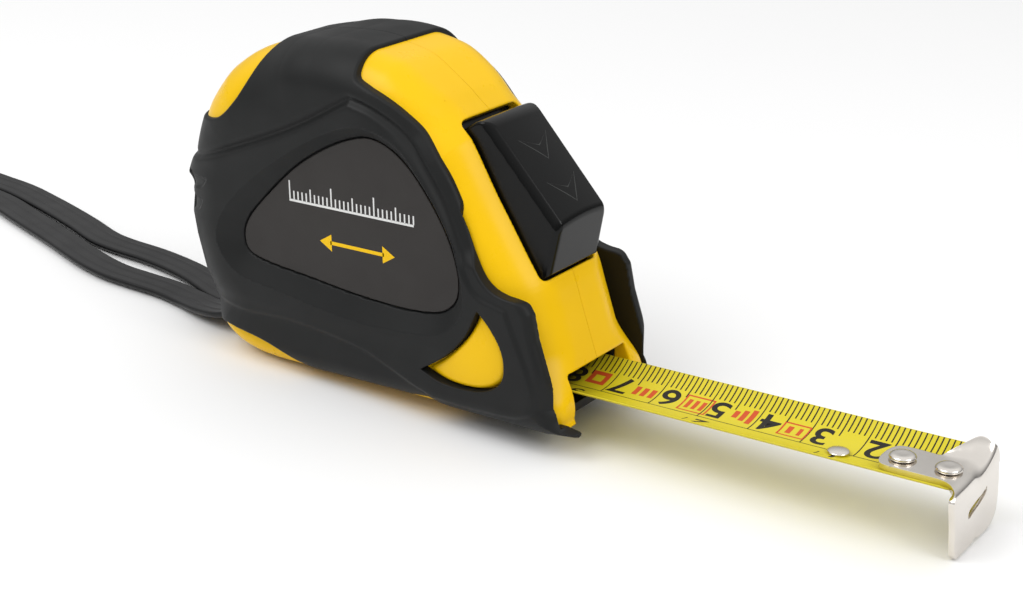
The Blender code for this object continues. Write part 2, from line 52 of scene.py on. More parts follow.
# The case's side outline and layers, in millimetres.
BODY = (-11.7, 28.3)
SHELL_R, GRIP_R = 37.6, 38.3
SHELL_HALF, GRIP_HALF = 15.7, 17.5
SHELL_ROUND, GRIP_ROUND = 10.5, 13.0
SHELL_WALL, SKIN_DEPTH = 2.0, 0.45
LABEL_FACE, LABEL_T, LABEL_BED = 15.85, 0.4, 14.9
SEAM, SEAM_LIP = 0.04, 0.5
SLOT_ORIGIN = np.array([33.5, 26.2])
SLOT_UP = np.array([-0.541, 0.841])
SLOT_OUT = np.array([0.841, 0.541])
SLOT_LENGTH, SLOT_HALF = 32.0, 8.7
SLOT_SHELF, SLOT_SHALLOW, SLOT_DEEP = 26.0, -4.7, -12.0
BUTTON_LOW, BUTTON_HIGH, BUTTON_HALF = 0.7, 30.6, 8.45
# The button's black skirt is a real part, and it also covers the slot's floor beside the button: painted
# shade in the slot's gaps.
SKIRT_OUT, SKIRT_HALF, SKIRT_HIGH = (-4.1, -2.7), 8.3, 34.0
# The block under the slot's upper end, and the pocket in it that the button's skirt slides into.
SHELF_LOW, SHELF_OUT, SHELF_HALF = 24.0, -6.8, 12.0
POCKET_OUT, POCKET_HALF, POCKET_HIGH = (-4.6, -2.4), 8.5, 36.5
MOUTH_REAR, MOUTH_HALF, MOUTH_FLOOR, MOUTH_TOP = 13.5, 9.5, 1.6, 10.0
# A black channel in the mouth that stands in for the shade inside it: painted shade.
SHADE_LINER_REAR, SHADE_LINER_FRONT, SHADE_LINER_HALF, SHADE_LINER_TOP = 18.2, 36.3, 10.4, 12.0
# The room in the rear wall for the blade's inner end when the blade is in.
TAPE_END_X, TAPE_END_Z, TAPE_END_HALF = (-37.0, 14.0), (3.6, 9.6), 9.2
FIN_AT, FIN_FOOT, FIN_HALF, FIN_CROWN = (23.0, 12.0), 15.0, 17.45, 0.012
# What is raised on the grips' sides and what is cut into them.
PLATEAU_RISE, GROOVE_DEPTH, BEVEL_DEPTH, NOTCH_DEPTH = 0.45, 0.6, 2.1, 0.7
# The grid step that a field is meshed with.
PITCH = 0.34

# The blade.
BLADE_R, BLADE_HALF, BLADE_Z, BLADE_T = 15.0, 8.9, 4.1, 0.2
HOOK_X, HOOK_T = 110.0, 1.2
BLADE_END, BLADE_SPLIT = 109.0, 31.0
TONGUE_Z, TONGUE_T = 5.15, 0.8
RIVETS = (105.8, 97.7)
MARK_RIVET = (87.6, -1.3)
INCH = 25.4

# The plane that the hook's tip and the case's rear edge rest on.
REST_SLOPE, REST_Z = 0.0456, -0.00154


# ---------------- fields

def smoothstep(t):
    t = np.clip(t, 0.0, 1.0)
    return t * t * (3 - 2 * t)


def both(a, b, radius=0.0):
    """Inside both fields, with a rounded outer edge."""
    if np.isscalar(radius) and radius == 0.0:
        return np.maximum(a, b)
    u, v = a + radius, b + radius
    return np.hypot(np.maximum(u, 0), np.maximum(v, 0)) + np.minimum(np.maximum(u, v), 0) - radius


def without(a, b, radius=0.0):
    return both(a, -b, radius)


def common(field, *others):
    """Inside every one of the fields."""
    for other in others:
        field = np.maximum(field, other)
    return field


def slab(value, low, high):
    """Inside where a value lies between two limits."""
    return np.maximum(low - value, value - high)


def catmull(a, b, c, d, t):
    """A point between b and c of the curve through a, b, c and d."""
    square, cube = 2 * a - 5 * b + 4 * c - d, 3 * b - 3 * c + d - a
    return 0.5 * (2 * b + (c - a) * t + square * t * t + cube * t ** 3)


def spline(points, steps=8, closed=True):
    """Points of a Catmull-Rom curve; a point with a third value is a sharp corner."""
    count = len(points)
    flat = [np.array(p[:2], float) for p in points]
    sharp = [len(p) > 2 for p in points]
    out = []
    for i in range(count if closed else count - 1):
        b, c = flat[i], flat[(i + 1) % count]
        a = b - (c - b) if sharp[i] or (not closed and i == 0) else flat[i - 1]
        after = (i + 1) % count
        last = sharp[after] or (not closed and i == count - 2)
        d = c + (c - b) if last else flat[(i + 2) % count]
        out += [catmull(a, b, c, d, k / steps) for k in range(steps)]
    if not closed:
        out.append(flat[-1])
    return out


class Flat:
    """The signed distance to a closed outline in a plane, kept on a fine grid."""

    def __init__(self, outline, low=(-56, -8), high=(52, 74), pitch=0.25):
        self.low, self.pitch = np.array(low, float), pitch
        u = np.arange(low[0], high[0] + pitch, pitch)
        v = np.arange(low[1], high[1] + pitch, pitch)
        gu, gv = np.meshgrid(u, v, indexing="ij")
        best = np.full(gu.shape, 1e9)
        winding = np.zeros(gu.shape, int)
        points = np.array([p[:2] for p in outline], float)
        for a, b in zip(points, np.roll(points, -1, axis=0)):
            edge = b - a
            if edge @ edge < 1e-12:
                continue
            pu, pv = gu - a[0], gv - a[1]
            t = np.clip((pu * edge[0] + pv * edge[1]) / (edge @ edge), 0, 1)
            best = np.minimum(best, (pu - t * edge[0]) ** 2 + (pv - t * edge[1]) ** 2)
            crosses = (a[1] <= gv) != (b[1] <= gv)
            left = edge[0] * pv - edge[1] * pu
            turn = (left > 0).astype(int) if edge[1] > 0 else -(left < 0).astype(int)
            winding += np.where(crosses, turn, 0)
        self.grid = np.where(winding != 0, -1, 1) * np.sqrt(best)

    def __call__(self, u, v):
        fu = np.clip((u - self.low[0]) / self.pitch, 0, self.grid.shape[0] - 1.001)
        fv = np.clip((v - self.low[1]) / self.pitch, 0, self.grid.shape[1] - 1.001)
        i, j = fu.astype(int), fv.astype(int)
        s, t = fu - i, fv - j
        g = self.grid
        near = g[i, j] * (1 - s) + g[i + 1, j] * s
        far = g[i, j + 1] * (1 - s) + g[i + 1, j + 1] * s
        return near * (1 - t) + far * t


def crossings(values):
    """The grid cells that a zero surface crosses, and the mean of its crossings of each cell's edges."""
    inside = values < 0
    ends = (slice(0, -1), slice(1, None))
    corners = np.array([inside[i, j, k] for i in ends for j in ends for k in ends])
    mixed = corners.any(0) & ~corners.all(0)
    cells = np.argwhere(mixed)
    total, weight = np.zeros((len(cells), 3)), np.zeros(len(cells))
    for axis in range(3):
        for s in (0, 1):
            for t in (0, 1):
                near = cells + np.insert((s, t), axis, 0)
                far = near + np.insert((0, 0), axis, 1)
                a, b = values[tuple(near.T)], values[tuple(far.T)]
                hit = (a < 0) != (b < 0)
                share = np.where(hit, a / np.where(hit, a - b, 1), 0)
                point = near.astype(float)
                point[:, axis] += share
                total += point * hit[:, None]
                weight += hit
    return mixed, cells, total / weight[:, None]


def quads(inside, index):
    """One face for each grid edge that passes through the surface, facing outwards."""
    faces = []
    for axis in range(3):
        u, v = [k for k in range(3) if k != axis]
        edges = np.argwhere(np.diff(inside, axis=axis))
        keep = (edges[:, u] > 0) & (edges[:, v] > 0)
        keep &= (edges[:, u] < inside.shape[u] - 1) & (edges[:, v] < inside.shape[v] - 1)
        edges = edges[keep]
        ring = []
        for s, t in ((1, 1), (0, 1), (0, 0), (1, 0)):
            cell = edges - np.insert((s, t), axis, 0)
            ring.append(index[tuple(cell.T)])
        ring = np.stack(ring, 1)
        flip = inside[tuple(edges.T)] == (axis == 1)
        ring[flip] = ring[flip][:, ::-1]
        faces.append(ring)
    return np.concatenate(faces)


def surface(field, low, high, pitch, middle=False):
    """A field's zero surface as points, faces and normals; with middle, one cell layer lies flat on y = 0."""
    axes = [np.arange(a, b + pitch, pitch) for a, b in zip(low, high)]
    if middle:
        axes[1] = np.arange(-1.5 * pitch, high[1] + pitch, pitch)
    values = field(axes[0][:, None, None], axes[1][None, :, None], axes[2][None, None, :])
    values = np.broadcast_to(values, tuple(len(a) for a in axes))
    mixed, cells, places = crossings(values)
    index = np.full(mixed.shape, -1)
    index[mixed] = np.arange(len(cells))
    points = places * pitch + np.array([a[0] for a in axes])
    flat = cells[:, 1] == 1 if middle else np.zeros(len(cells), bool)
    points[flat, 1] = 0.0
    for _ in range(3):
        value, slope = gradient(field, points)
        slope[flat, 1] = 0.0
        move = value[:, None] * slope / np.maximum((slope ** 2).sum(1), 0.1)[:, None]
        size = np.linalg.norm(move, axis=1)
        points -= move * np.minimum(1, 0.5 * pitch / np.maximum(size, 1e-9))[:, None]
    faces = quads(values < 0, index)
    normals = gradient(field, points, True)[1]
    if middle:
        layer = cells[:, 1][faces]
        faces = faces[(layer.min(1) >= 1) & (layer.max(1) >= 2)]
    return points, faces, normals, flat


def net(name, field, low, high, pitch):
    """A closed mesh of a field's zero surface."""
    points, faces, normals, _ = surface(field, low, high, pitch)
    return mesh_of(name, points * MM, faces, normals)


def pair(names, field, low, high):
    """A field's left and right meshes, each with a turned-in edge along the parting line."""
    points, faces, normals, flat = surface(field, low, high, PITCH, True)
    length = np.maximum(np.linalg.norm(normals, axis=1), 1e-9)
    unit = normals / length[:, None]
    points[flat] -= SEAM * unit[flat]
    points[flat, 1] = SEAM
    ends = np.concatenate([faces[:, [i, (i + 1) % 4]] for i in range(4)])
    ends = ends[flat[ends].all(1)]
    lip = np.unique(ends)
    number = np.full(len(points), -1)
    number[lip] = np.arange(len(lip))
    outer = len(points) + number[ends]
    inner = outer + len(lip)
    points = np.concatenate([points, points[lip], points[lip] - SEAM_LIP * unit[lip]])
    inward = np.tile((0.0, -1.0, 0.0), (2 * len(lip), 1))
    normals = np.concatenate([unit, inward])
    wall = np.stack([outer[:, 1], outer[:, 0], inner[:, 0], inner[:, 1]], 1)
    faces = np.concatenate([faces, wall])
    used, compact = np.unique(faces, return_inverse=True)
    points, normals, faces = points[used], normals[used], compact.reshape(-1, 4)
    made = [mesh_of(names[1], points * MM, faces, normals)]
    mirror = np.array((1.0, -1.0, 1.0))
    made.insert(0, mesh_of(names[0], points * mirror * MM, faces[:, ::-1], normals * mirror))
    return made


def gradient(field, points, fine=False, reach=0.04):
    x, y, z = points.T
    value = field(x, y, z)
    high = [field(x + reach, y, z), field(x, y + reach, z), field(x, y, z + reach)]
    if not fine:
        return value, np.stack([h - value for h in high], 1) / reach
    low = [field(x - reach, y, z), field(x, y - reach, z), field(x, y, z - reach)]
    return value, np.stack([after - before for after, before in zip(high, low)], 1) / (2 * reach)


def mesh_of(name, points, faces, normals=None):
    mesh = bpy.data.meshes.new(name)
    sides = faces.shape[1]
    mesh.vertices.add(len(points))
    mesh.vertices.foreach_set("co", np.asarray(points, np.float32).ravel())
    mesh.loops.add(faces.size)
    mesh.loops.foreach_set("vertex_index", faces.astype(np.int32).ravel())
    mesh.polygons.add(len(faces))
    mesh.polygons.foreach_set("loop_start", np.arange(0, faces.size, sides, dtype=np.int32))
    mesh.update(calc_edges=True)
    mesh.validate()
    mesh.shade_smooth()
    if normals is not None:
        length = np.linalg.norm(normals, axis=1)
        unit = normals / np.maximum(length, 1e-9)[:, None]
        mesh.normals_split_custom_set_from_vertices(unit.astype(np.float32))
    return added(name, mesh)


def added(name, data):
    """A new object in the scene for a mesh, curve, lamp or camera."""
    made = bpy.data.objects.new(name, data)
    bpy.context.scene.collection.objects.link(made)
    return made


def baked(made):
    """An object's mesh with its modifiers applied."""
    return bpy.data.meshes.new_from_object(made.evaluated_get(bpy.context.evaluated_depsgraph_get()))


def flat_faces(name, points, faces):
    """An object of flat faces with any number of corners."""
    mesh = bpy.data.meshes.new(name)
    mesh.from_pydata(points, [], faces)
    return added(name, mesh)


def swept(name, rings):
    """A closed tube through rings of equally many points."""
    size = len(rings[0])
    faces = []
    for i in range(len(rings) - 1):
        for j in range(size):
            k = (j + 1) % size
            faces.append((i * size + j, i * size + k, (i + 1) * size + k, (i + 1) * size + j))
    made = mesh_of(name, np.array(rings).reshape(-1, 3), np.array(faces))
    seal(made)
    return made


def seal(made):
    """Welds doubled points, fills open ends and turns the faces outwards."""
    shape = bmesh.new()
    shape.from_mesh(made.data)
    bmesh.ops.remove_doubles(shape, verts=shape.verts, dist=1e-7)
    bmesh.ops.holes_fill(shape, edges=[e for e in shape.edges if len(e.link_faces) == 1])
    bmesh.ops.recalc_face_normals(shape, faces=shape.faces)
    for face in shape.faces:
        face.smooth = True
    shape.to_mesh(made.data)
    shape.free()


# ---------------- materials

def shader(name, colour, rough, metallic=0.0):
    made = bpy.data.materials.new(name)
    made.use_nodes = True
    main = made.node_tree.nodes["Principled BSDF"]
    main.inputs["Base Color"].default_value = (*colour, 1)
    main.inputs["Roughness"].default_value = rough
    main.inputs["Metallic"].default_value = metallic
    return made, main


def noise(made, scale, detail, stretch=(1, 1, 1)):
    nodes, links = made.node_tree.nodes, made.node_tree.links
    coords = nodes.new("ShaderNodeTexCoord")
    mapping = nodes.new("ShaderNodeMapping")
    mapping.inputs["Scale"].default_value = stretch
    texture = nodes.new("ShaderNodeTexNoise")
    texture.inputs["Scale"].default_value = scale
    texture.inputs["Detail"].default_value = detail
    links.new(coords.outputs["Object"], mapping.inputs["Vector"])
    links.new(mapping.outputs["Vector"], texture.inputs["Vector"])
    return texture.outputs["Fac"]


def ramp_of(nodes, stops):
    """A ramp between two stops, each a position with its grey value or its colour."""
    ramp = nodes.new("ShaderNodeValToRGB")
    for stop, (position, value) in zip(ramp.color_ramp.elements, stops):
        stop.position = position
        stop.color = (*value, 1) if isinstance(value, tuple) else (value, value, value, 1)
    return ramp


def vary(made, source, socket, low, high):
    """A socket that follows a texture between two values or two colours."""
    links = made.node_tree.links
    ramp = ramp_of(made.node_tree.nodes, ((0.3, low), (0.7, high)))
    links.new(source, ramp.inputs["Fac"])
    links.new(ramp.outputs["Color"], socket)


def bump(made, main, source, strength, distance):
    node = made.node_tree.nodes.new("ShaderNodeBump")
    node.inputs["Strength"].default_value = strength
    node.inputs["Distance"].default_value = distance
    made.node_tree.links.new(source, node.inputs["Height"])
    made.node_tree.links.new(node.outputs["Normal"], main.inputs["Normal"])


def moulded(name, low, high, rough, grain, depth, shine):
    """Moulded plastic or rubber: faint mottling, uneven gloss and a fine grain."""
    made, main = shader(name, low, rough)
    main.inputs["Specular IOR Level"].default_value = shine
    vary(made, noise(made, 60, 2), main.inputs["Base Color"], low, high)
    vary(made, noise(made, 180, 4), main.inputs["Roughness"], rough - 0.04, rough + 0.04)
    bump(made, main, noise(made, grain, 2), 0.25, depth)
    return made


def metal(name, low, high, rough, stretch=(1, 1, 1)):
    made, main = shader(name, low, rough, 1.0)
    vary(made, noise(made, 120, 3), main.inputs["Base Color"], low, high)
    vary(made, noise(made, 700, 3, stretch), main.inputs["Roughness"], rough - 0.05, rough + 0.08)
    bump(made, main, noise(made, 1500, 2, stretch), 0.08, 0.00002)
    return made


# Each look's material name, darkest and lightest colour, roughness, grain, the grain's depth, and shine.
MOULDED = {
    "yellow": ("yellow_abs", (0.845, 0.505, 0.001), (0.87, 0.527, 0.002), 0.3, 2600, 1e-5, 0.2),
    "rubber": ("grip_rubber", (0.0065, 0.007, 0.007), (0.009, 0.0095, 0.0095), 0.5, 3400, 3e-5, 0.24),
    "gloss": ("black_gloss", (0.002, 0.0022, 0.0022), (0.003, 0.0032, 0.0032), 0.2, 2400, 1e-5, 0.2),
    "label": ("label_film", (0.0175, 0.0145, 0.013), (0.02, 0.017, 0.015), 0.45, 5200, 1e-5, 0.35),
    "strap": ("strap_black", (0.004, 0.004, 0.0045), (0.007, 0.007, 0.0075), 0.34, 2400, 3e-5, 0.28),
    "inner": ("inner_black", (0.008, 0.008, 0.009), (0.012, 0.012, 0.013), 0.5, 1800, 2e-5, 0.3),
    "blade": ("blade_lacquer", (0.64, 0.54, 0.012), (0.68, 0.575, 0.018), 0.38, 1600, 1e-5, 0.4),
    "ink": ("black_ink", (0.01, 0.009, 0.007), (0.016, 0.014, 0.011), 0.5, 2000, 1e-5, 0.3),
    "arrow": ("button_line", (0.024, 0.025, 0.024), (0.03, 0.031, 0.03), 0.42, 2400, 1e-5, 0.4),
    "red": ("red_ink", (0.56, 0.075, 0.015), (0.6, 0.09, 0.02), 0.5, 2000, 1e-5, 0.3),
    "white": ("white_ink", (0.7, 0.7, 0.69), (0.74, 0.74, 0.73), 0.5, 2000, 1e-5, 0.3),
}
METALS = {
    "nickel": ("nickel_plate", (0.72, 0.68, 0.63), (0.78, 0.74, 0.69), 0.17),
    "spring": ("spring_steel", (0.26, 0.27, 0.31), (0.33, 0.34, 0.37), 0.32, (1, 8, 1)),
}
LOOK = {key: moulded(*values) for key, values in MOULDED.items()}
LOOK.update({key: metal(*values) for key, values in METALS.items()})


def dress(data, look):
    data.materials.clear()
    data.materials.append(LOOK[look])


def place(made, body, look, slot, *nodes):
    """Gives a piece its material and body and hides the CAD nodes that it stands for; the slot is not used.
    """
    dress(made.data, look)
    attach(made, body)
    if nodes:
        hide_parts(*nodes)
    return made


# ---------------- camera, light and floor

def view_axes(azimuth, elevation, roll):
    """The camera's right, up and back directions for its angles in degrees."""
    a, e, r = (math.radians(v) for v in (azimuth, elevation, roll))
    back = Vector((math.sin(a) * math.cos(e), -math.cos(a) * math.cos(e), math.sin(e)))
    right = Vector((math.cos(a), math.sin(a), 0))
    up = back.cross(right)
    return math.cos(r) * right + math.sin(r) * up, -math.sin(r) * right + math.cos(r) * up, back


# The camera's place, its azimuth, elevation and roll in degrees, and its lens in millimetres.
CAMERA_AT = (0.212404, -0.271565, 0.141715)
CAMERA_TURN = (35.313, 20.649, -0.730)
CAMERA_LENS, SENSOR = 67.79, 36
# Each lamp's place, the point that it faces, its size and its power.
LAMPS = {
    "key": ((-0.25, -0.50, 0.75), (0.02, 0, 0.03), 0.60, 3.2),
    "front": ((0.75, -0.10, 0.50), (0.05, 0, 0.02), 0.50, 2.2),
}
# The sky's grey value at two heights, near the horizon and well above it.
SKY = ((0.02, 0.16), (0.75, 0.98))
FLOOR_REACH, FLOOR_GAP = 3.0, 0.0004


def camera():
    right, up, back = view_axes(*CAMERA_TURN)
    data = bpy.data.cameras.new("camera")
    data.sensor_width = SENSOR
    data.lens = CAMERA_LENS
    data.clip_start = 0.01
    made = added("camera", data)
    turn = Matrix((right, up, back)).transposed().to_4x4()
    made.matrix_world = Matrix.Translation(CAMERA_AT) @ turn
    bpy.context.scene.camera = made


def sky():
    world = bpy.data.worlds.new("studio")
    world.use_nodes = True
    nodes, links = world.node_tree.nodes, world.node_tree.links
    coords = nodes.new("ShaderNodeTexCoord")
    split = nodes.new("ShaderNodeSeparateXYZ")
    ramp = ramp_of(nodes, SKY)
    links.new(coords.outputs["Generated"], split.inputs["Vector"])
    links.new(split.outputs["Z"], ramp.inputs["Fac"])
    links.new(ramp.outputs["Color"], nodes["Background"].inputs["Color"])
    bpy.context.scene.world = world
    bpy.context.scene.view_settings.view_transform = "Standard"


def lamps():
    for name, (where, aim, size, power) in LAMPS.items():
        lamp = bpy.data.lights.new(name, "AREA")
        lamp.shape = "DISK"
        lamp.size = size
        lamp.energy = power
        light = added(name, lamp)
        light.location = where
        light.rotation_euler = (Vector(aim) - Vector(where)).to_track_quat("-Z", "Y").to_euler()


def ground():
    """A pale floor on the plane that the tape rests on."""
    sides = ((-1, -1), (1, -1), (1, 1), (-1, 1))
    places = [(u * FLOOR_REACH, v * FLOOR_REACH) for u, v in sides]
    corners = [(x, y, REST_Z - FLOOR_GAP - REST_SLOPE * x) for x, y in places]
    floor = mesh_of("floor", np.array(corners), np.array([[0, 1, 2, 3]]))
    paint, main = shader("floor_paint", (0.90, 0.90, 0.90), 0.7)
    vary(paint, noise(paint, 4, 2), main.inputs["Base Color"], (0.895, 0.895, 0.895), (0.905, 0.905, 0.905))
    floor.data.materials.append(paint)


# ---------------- wrist strap

STRAP_WIDTH, STRAP_T = 0.0076, 0.0016
RIB_AT, RIB_WIDTH = 0.0013, 0.00032
STRAP_OUT = (
    (-0.0415, 0.0012, 0.0052), (-0.0455, 0.0010, 0.0036), (-0.0510, 0.0020, 0.0026), (-0.0580, 0.0046, 0),
    (-0.0668, 0.0077, 0), (-0.0746, 0.0096, 0), (-0.0840, 0.0108, 0), (-0.0940, 0.0110, 0),
    (-0.1010, 0.0120, 0), (-0.1105, 0.0152, 0), (-0.1200, 0.0180, 0), (-0.1300, 0.0206, 0),
    (-0.1400, 0.0228, 0),
)
STRAP_BACK = (
    (-0.1380, 0.0144, 0), (-0.1240, 0.0103, 0), (-0.1095, 0.0060, 0), (-0.1015, 0.0034, 0),
    (-0.0920, 0.0004, 0), (-0.0840, -0.0012, 0), (-0.0770, -0.0014, 0), (-0.0680, -0.0014, 0),
    (-0.0600, -0.0026, 0), (-0.0530, -0.0048, 0.0026), (-0.0465, -0.0064, 0.0036), (-0.0415, -0.0066, 0.0052),
)
LOOP_START = Vector((-0.1500, 0.0195))
LOOP_HEADING = Vector((-0.995, -0.100))
LOOP_END = ((0.0, 0.0042), (0.010, 0.0062), (0.020, 0.0105), (0.030, 0.0150))
LOOP_CENTRE, LOOP_R = 0.040, 0.017


def strap_route():
    side = Vector((LOOP_HEADING.y, -LOOP_HEADING.x))
    lateral = list(LOOP_END)
    for turn in (0, 0.52, 1.05, 1.57, 2.09, 2.62, 3.14):
        lateral.append((LOOP_CENTRE + LOOP_R * math.sin(turn), LOOP_R * math.cos(turn)))
    lateral += [(along, -out) for along, out in reversed(LOOP_END)]
    loop = []
    for along, out in lateral:
        spot = LOOP_START + along * LOOP_HEADING + out * side
        loop.append((spot.x, spot.y, 0))
    route = []
    for x, y, z in list(STRAP_OUT) + loop + list(STRAP_BACK):
        route.append(np.array((x, y, z or REST_Z - REST_SLOPE * x + STRAP_T / 2 + 0.0001)))
    return route


def smooth_path(points, steps=6):
    fine = []
    for i in range(len(points) - 1):
        a, b, c, d = (points[min(max(k, 0), len(points) - 1)] for k in (i - 1, i, i + 1, i + 2))
        fine += [catmull(a, b, c, d, k / steps) for k in range(steps)]
    fine.append(points[-1])
    return np.array(fine)


def strap_section():
    """The strap's cut as (across, up) points: a band with rounded edges and two ribs on each face."""
    half, thick = STRAP_WIDTH / 2, STRAP_T / 2
    count = 28
    top = []
    for i in range(count + 1):
        u = -half + 2 * half * i / count
        beyond = max(0.0, (abs(u) - half + thick * 0.8) / (thick * 0.8))
        edge = math.sqrt(max(0.0, 1 - beyond ** 2))
        rib = sum(math.exp(-((u - c) / RIB_WIDTH) ** 2) for c in (-RIB_AT, RIB_AT))
        top.append((u, thick * (0.80 * edge) + 0.20 * thick * rib))
    bottom = [(u, -v) for u, v in reversed(top[1:-1])]
    return top + bottom


def wrist_strap():
    path = smooth_path(strap_route())
    along = np.gradient(path, axis=0)
    along /= np.linalg.norm(along, axis=1)[:, None]
    rest_up = np.array([REST_SLOPE, 0, 1.0])
    rest_up /= np.linalg.norm(rest_up)
    section = strap_section()
    rings = []
    for point, heading in zip(path, along):
        across = np.cross(rest_up, heading)
        across /= np.linalg.norm(across)
        up = np.cross(heading, across)
        rings.append([point + u * across + v * up for u, v in section])
    made = swept("strap_band", rings)
    place(made, "case", "strap", "strap", "wrist_strap")


# ---------------- case shells and grips

def on_slot(up, out):
    return SLOT_ORIGIN + up * SLOT_UP + out * SLOT_OUT


# How far the outline's round part stands out from its radius, by angle in degrees.
BULGE = (
    (20, 0), (36, 0), (46, -0.9), (56, -1.1), (65, -0.7), (76, -1.5), (92, -2.2), (104, -2), (114, -1.1),
    (124, -0.1), (134, 0.6), (146, 0.6), (160, -0.2), (172, -0.9), (190, -0.9), (215, -0.4), (230, 0),
)
SHELL_REAR = ((-39.6, 4.6), (-35.6, 1.9), (-31, 0.5), (-26, 0, 1))
SHELL_BASE = ((16, 0, 1), (17.5, 0.9, 1), (38.6, 0.9))
SHELL_NOSE = ((40.3, 2.3), (40.3, 5.6), (38.9, MOUTH_TOP), (37.1, 15.4), (35.3, 20.9))
# The slope that the lock slides on: (along the slot, out of it).
SHELL_SLOPE = ((0, 0), (6, 0.1), (12, 0.2), (18, 0.25))
GRIP_BACK = (
    (-48.6, 38.9), (-50.1, 35.6), (-49.9, 32.8), (-49, 32.3), (-49.1, 30.4), (-49.6, 27.2), (-48.8, 22),
    (-46.8, 14.5), (-43.9, 9.6), (-39, 4.6), (-35, 2.2), (-31, 1.1),
)
GRIP_BASE = ((-16, 0.5), (8, 0.8), (12, 1.1), (14.6, 0.5), (17, 0.3), (38, 0.2), (44.1, 0.9))
GRIP_CHEEK = (
    (44.3, 1.9), (41.6, 2.3), (40.8, 3.8), (39, 11), (36.7, 18), (35.7, 23), (33.8, 25.6),
    (33.6, 28.4),
)


def round_part(radius, start, end, step):
    """An arc of the body's outline with the bulge added."""
    angles, extra = zip(*BULGE)
    points = []
    for angle in np.linspace(start, end, round(abs(end - start) / step) + 1):
        reach = radius + np.interp(angle, angles, extra)
        a = math.radians(angle)
        points.append(np.array([BODY[0] + reach * math.cos(a), BODY[1] + reach * math.sin(a)]))
    return points


def body_outline():
    """The shells' side outline: a rounded back, the lock's slope, the steep nose and the flat base."""
    points = [tuple(p) for p in round_part(SHELL_R, 34, 214, 4)]
    points += SHELL_REAR + SHELL_BASE + SHELL_NOSE
    points += [tuple(on_slot(up, out)) for up, out in SHELL_SLOPE]
    return spline(points, 5)


def grip_outline():
    """The black grips' side outline: the round part, the ribs at the back, the base and the cheeks."""
    return round_part(GRIP_R, 24, 160, 1) + [np.array(p) for p in GRIP_BACK + GRIP_BASE + GRIP_CHEEK]


# Where the grips' rubber lies, the label, the outer edge of its bevel, the grips' raised part and the fin.
MASK = (
    (-2.8, 72, 1), (-2.8, 64.5), (-2.3, 61), (-1.6, 59.5), (0.6, 58.5), (4.1, 57), (7.9, 54.7),
    (12.2, 51.1), (16.6, 45.5), (19.3, 40.9), (21.7, 36), (23.7, 31.2), (25.6, 27.8), (27.8, 26),
    (30.5, 25.2), (33.4, 24.9), (36, 24.2, 1), (48, 24, 1), (48, -4, 1), (-14, -4, 1), (-14.8, 0.3),
    (-19.4, 2.4), (-25, 4.6), (-31.6, 5.9), (-38.6, 6.2), (-45, 3.4), (-56, 0, 1), (-56, 47.5, 1),
    (-46.5, 46.6), (-40, 46.8), (-35, 48.2), (-31, 51.8), (-28.6, 55.6), (-27, 59.6), (-25.6, 63.6),
    (-24.8, 67), (-24.4, 72, 1),
)
LABEL = (
    (-31, 25.6), (-29.2, 29.6), (-23.6, 35.4), (-17, 41.2), (-10, 45.6), (-3.6, 48.4), (1, 49.2),
    (5.6, 47.8), (9.9, 44.6), (14, 39.7), (17.5, 34.1), (19.5, 28.7), (19.9, 24.4), (18.7, 21.2),
    (15, 18.9), (7.5, 18.1), (-4.2, 18.6), (-15, 19.8), (-25.4, 20.9), (-30, 22.4),
)
FRAME = (
    (-36.2, 23), (-35.6, 28), (-31.5, 33.2), (-25, 38.8), (-18, 43.6), (-10, 48.2), (-3, 51), (2.2, 51.2),
    (7.6, 49), (12.2, 44.5), (16.6, 38.2), (20, 32), (22, 26), (21.6, 20.2), (16.6, 15.8), (6, 14.4),
    (-6, 14.5), (-20, 16.4), (-31.5, 18.2),
)
PLATEAU = (
    (-60, 34.6), (-42, 38.8), (-31, 42.6), (-16, 48.6), (-2.6, 55.6, 1), (2.4, 54.2), (8.4, 50.6),
    (13.4, 44.8), (17.8, 37.8), (21.2, 30.6), (24.6, 25), (31, 23, 1), (37, 8), (34, 3.6), (24, 2.6),
    (14, 2.8, 1), (5, 6.6), (-3, 9.2), (-18, 11), (-34, 10.8), (-60, 14),
)
FIN = (
    (25.2, 21.9, 1), (22.3, 16.4), (17.6, 11.6), (12.2, 8, 1), (17.6, 6.4), (25, 6.6), (29.4, 8.7),
    (30.7, 12), (30, 15.8), (27.8, 19.2),
)
NOTCH_HIGH = ((-46, 35.6, 1), (-38.4, 35.4, 1), (-40.6, 33.6), (-46, 32.4, 1))
NOTCH_LOW = ((-46, 31, 1), (-40.4, 30.8, 1), (-42, 28.8), (-46, 27.6, 1))


def outlines():
    return {
        "shell": Flat(body_outline()),
        "grip": Flat(grip_outline()),
        "mask": Flat(spline(MASK)),
        "label": Flat(spline(LABEL)),
        "frame": Flat(spline(FRAME)),
        "plateau": Flat(spline(PLATEAU)),
        "fin": Flat(spline(FIN)),
        "notch": Flat(spline(NOTCH_HIGH)),
        "notch_low": Flat(spline(NOTCH_LOW)),
    }


FLAT = outlines()


def slot_frame(x, z):
    u, v = x - SLOT_ORIGIN[0], z - SLOT_ORIGIN[1]
    return u * SLOT_UP[0] + v * SLOT_UP[1], u * SLOT_OUT[0] + v * SLOT_OUT[1]


def shoulder(x, z):
    """1 over the top's front part, where the corners are tighter than at the back."""
    return smoothstep((z - 50) / 8) * smoothstep((x + 26) / 10) * smoothstep((20 - x) / 14)


def shell_round(x, z):
    """The shell's corner radius: large over the top and back, smaller along the base."""
    return SHELL_ROUND - (SHELL_ROUND - 4.0) * smoothstep((14 - z) / 10) - 2.5 * shoulder(x, z)


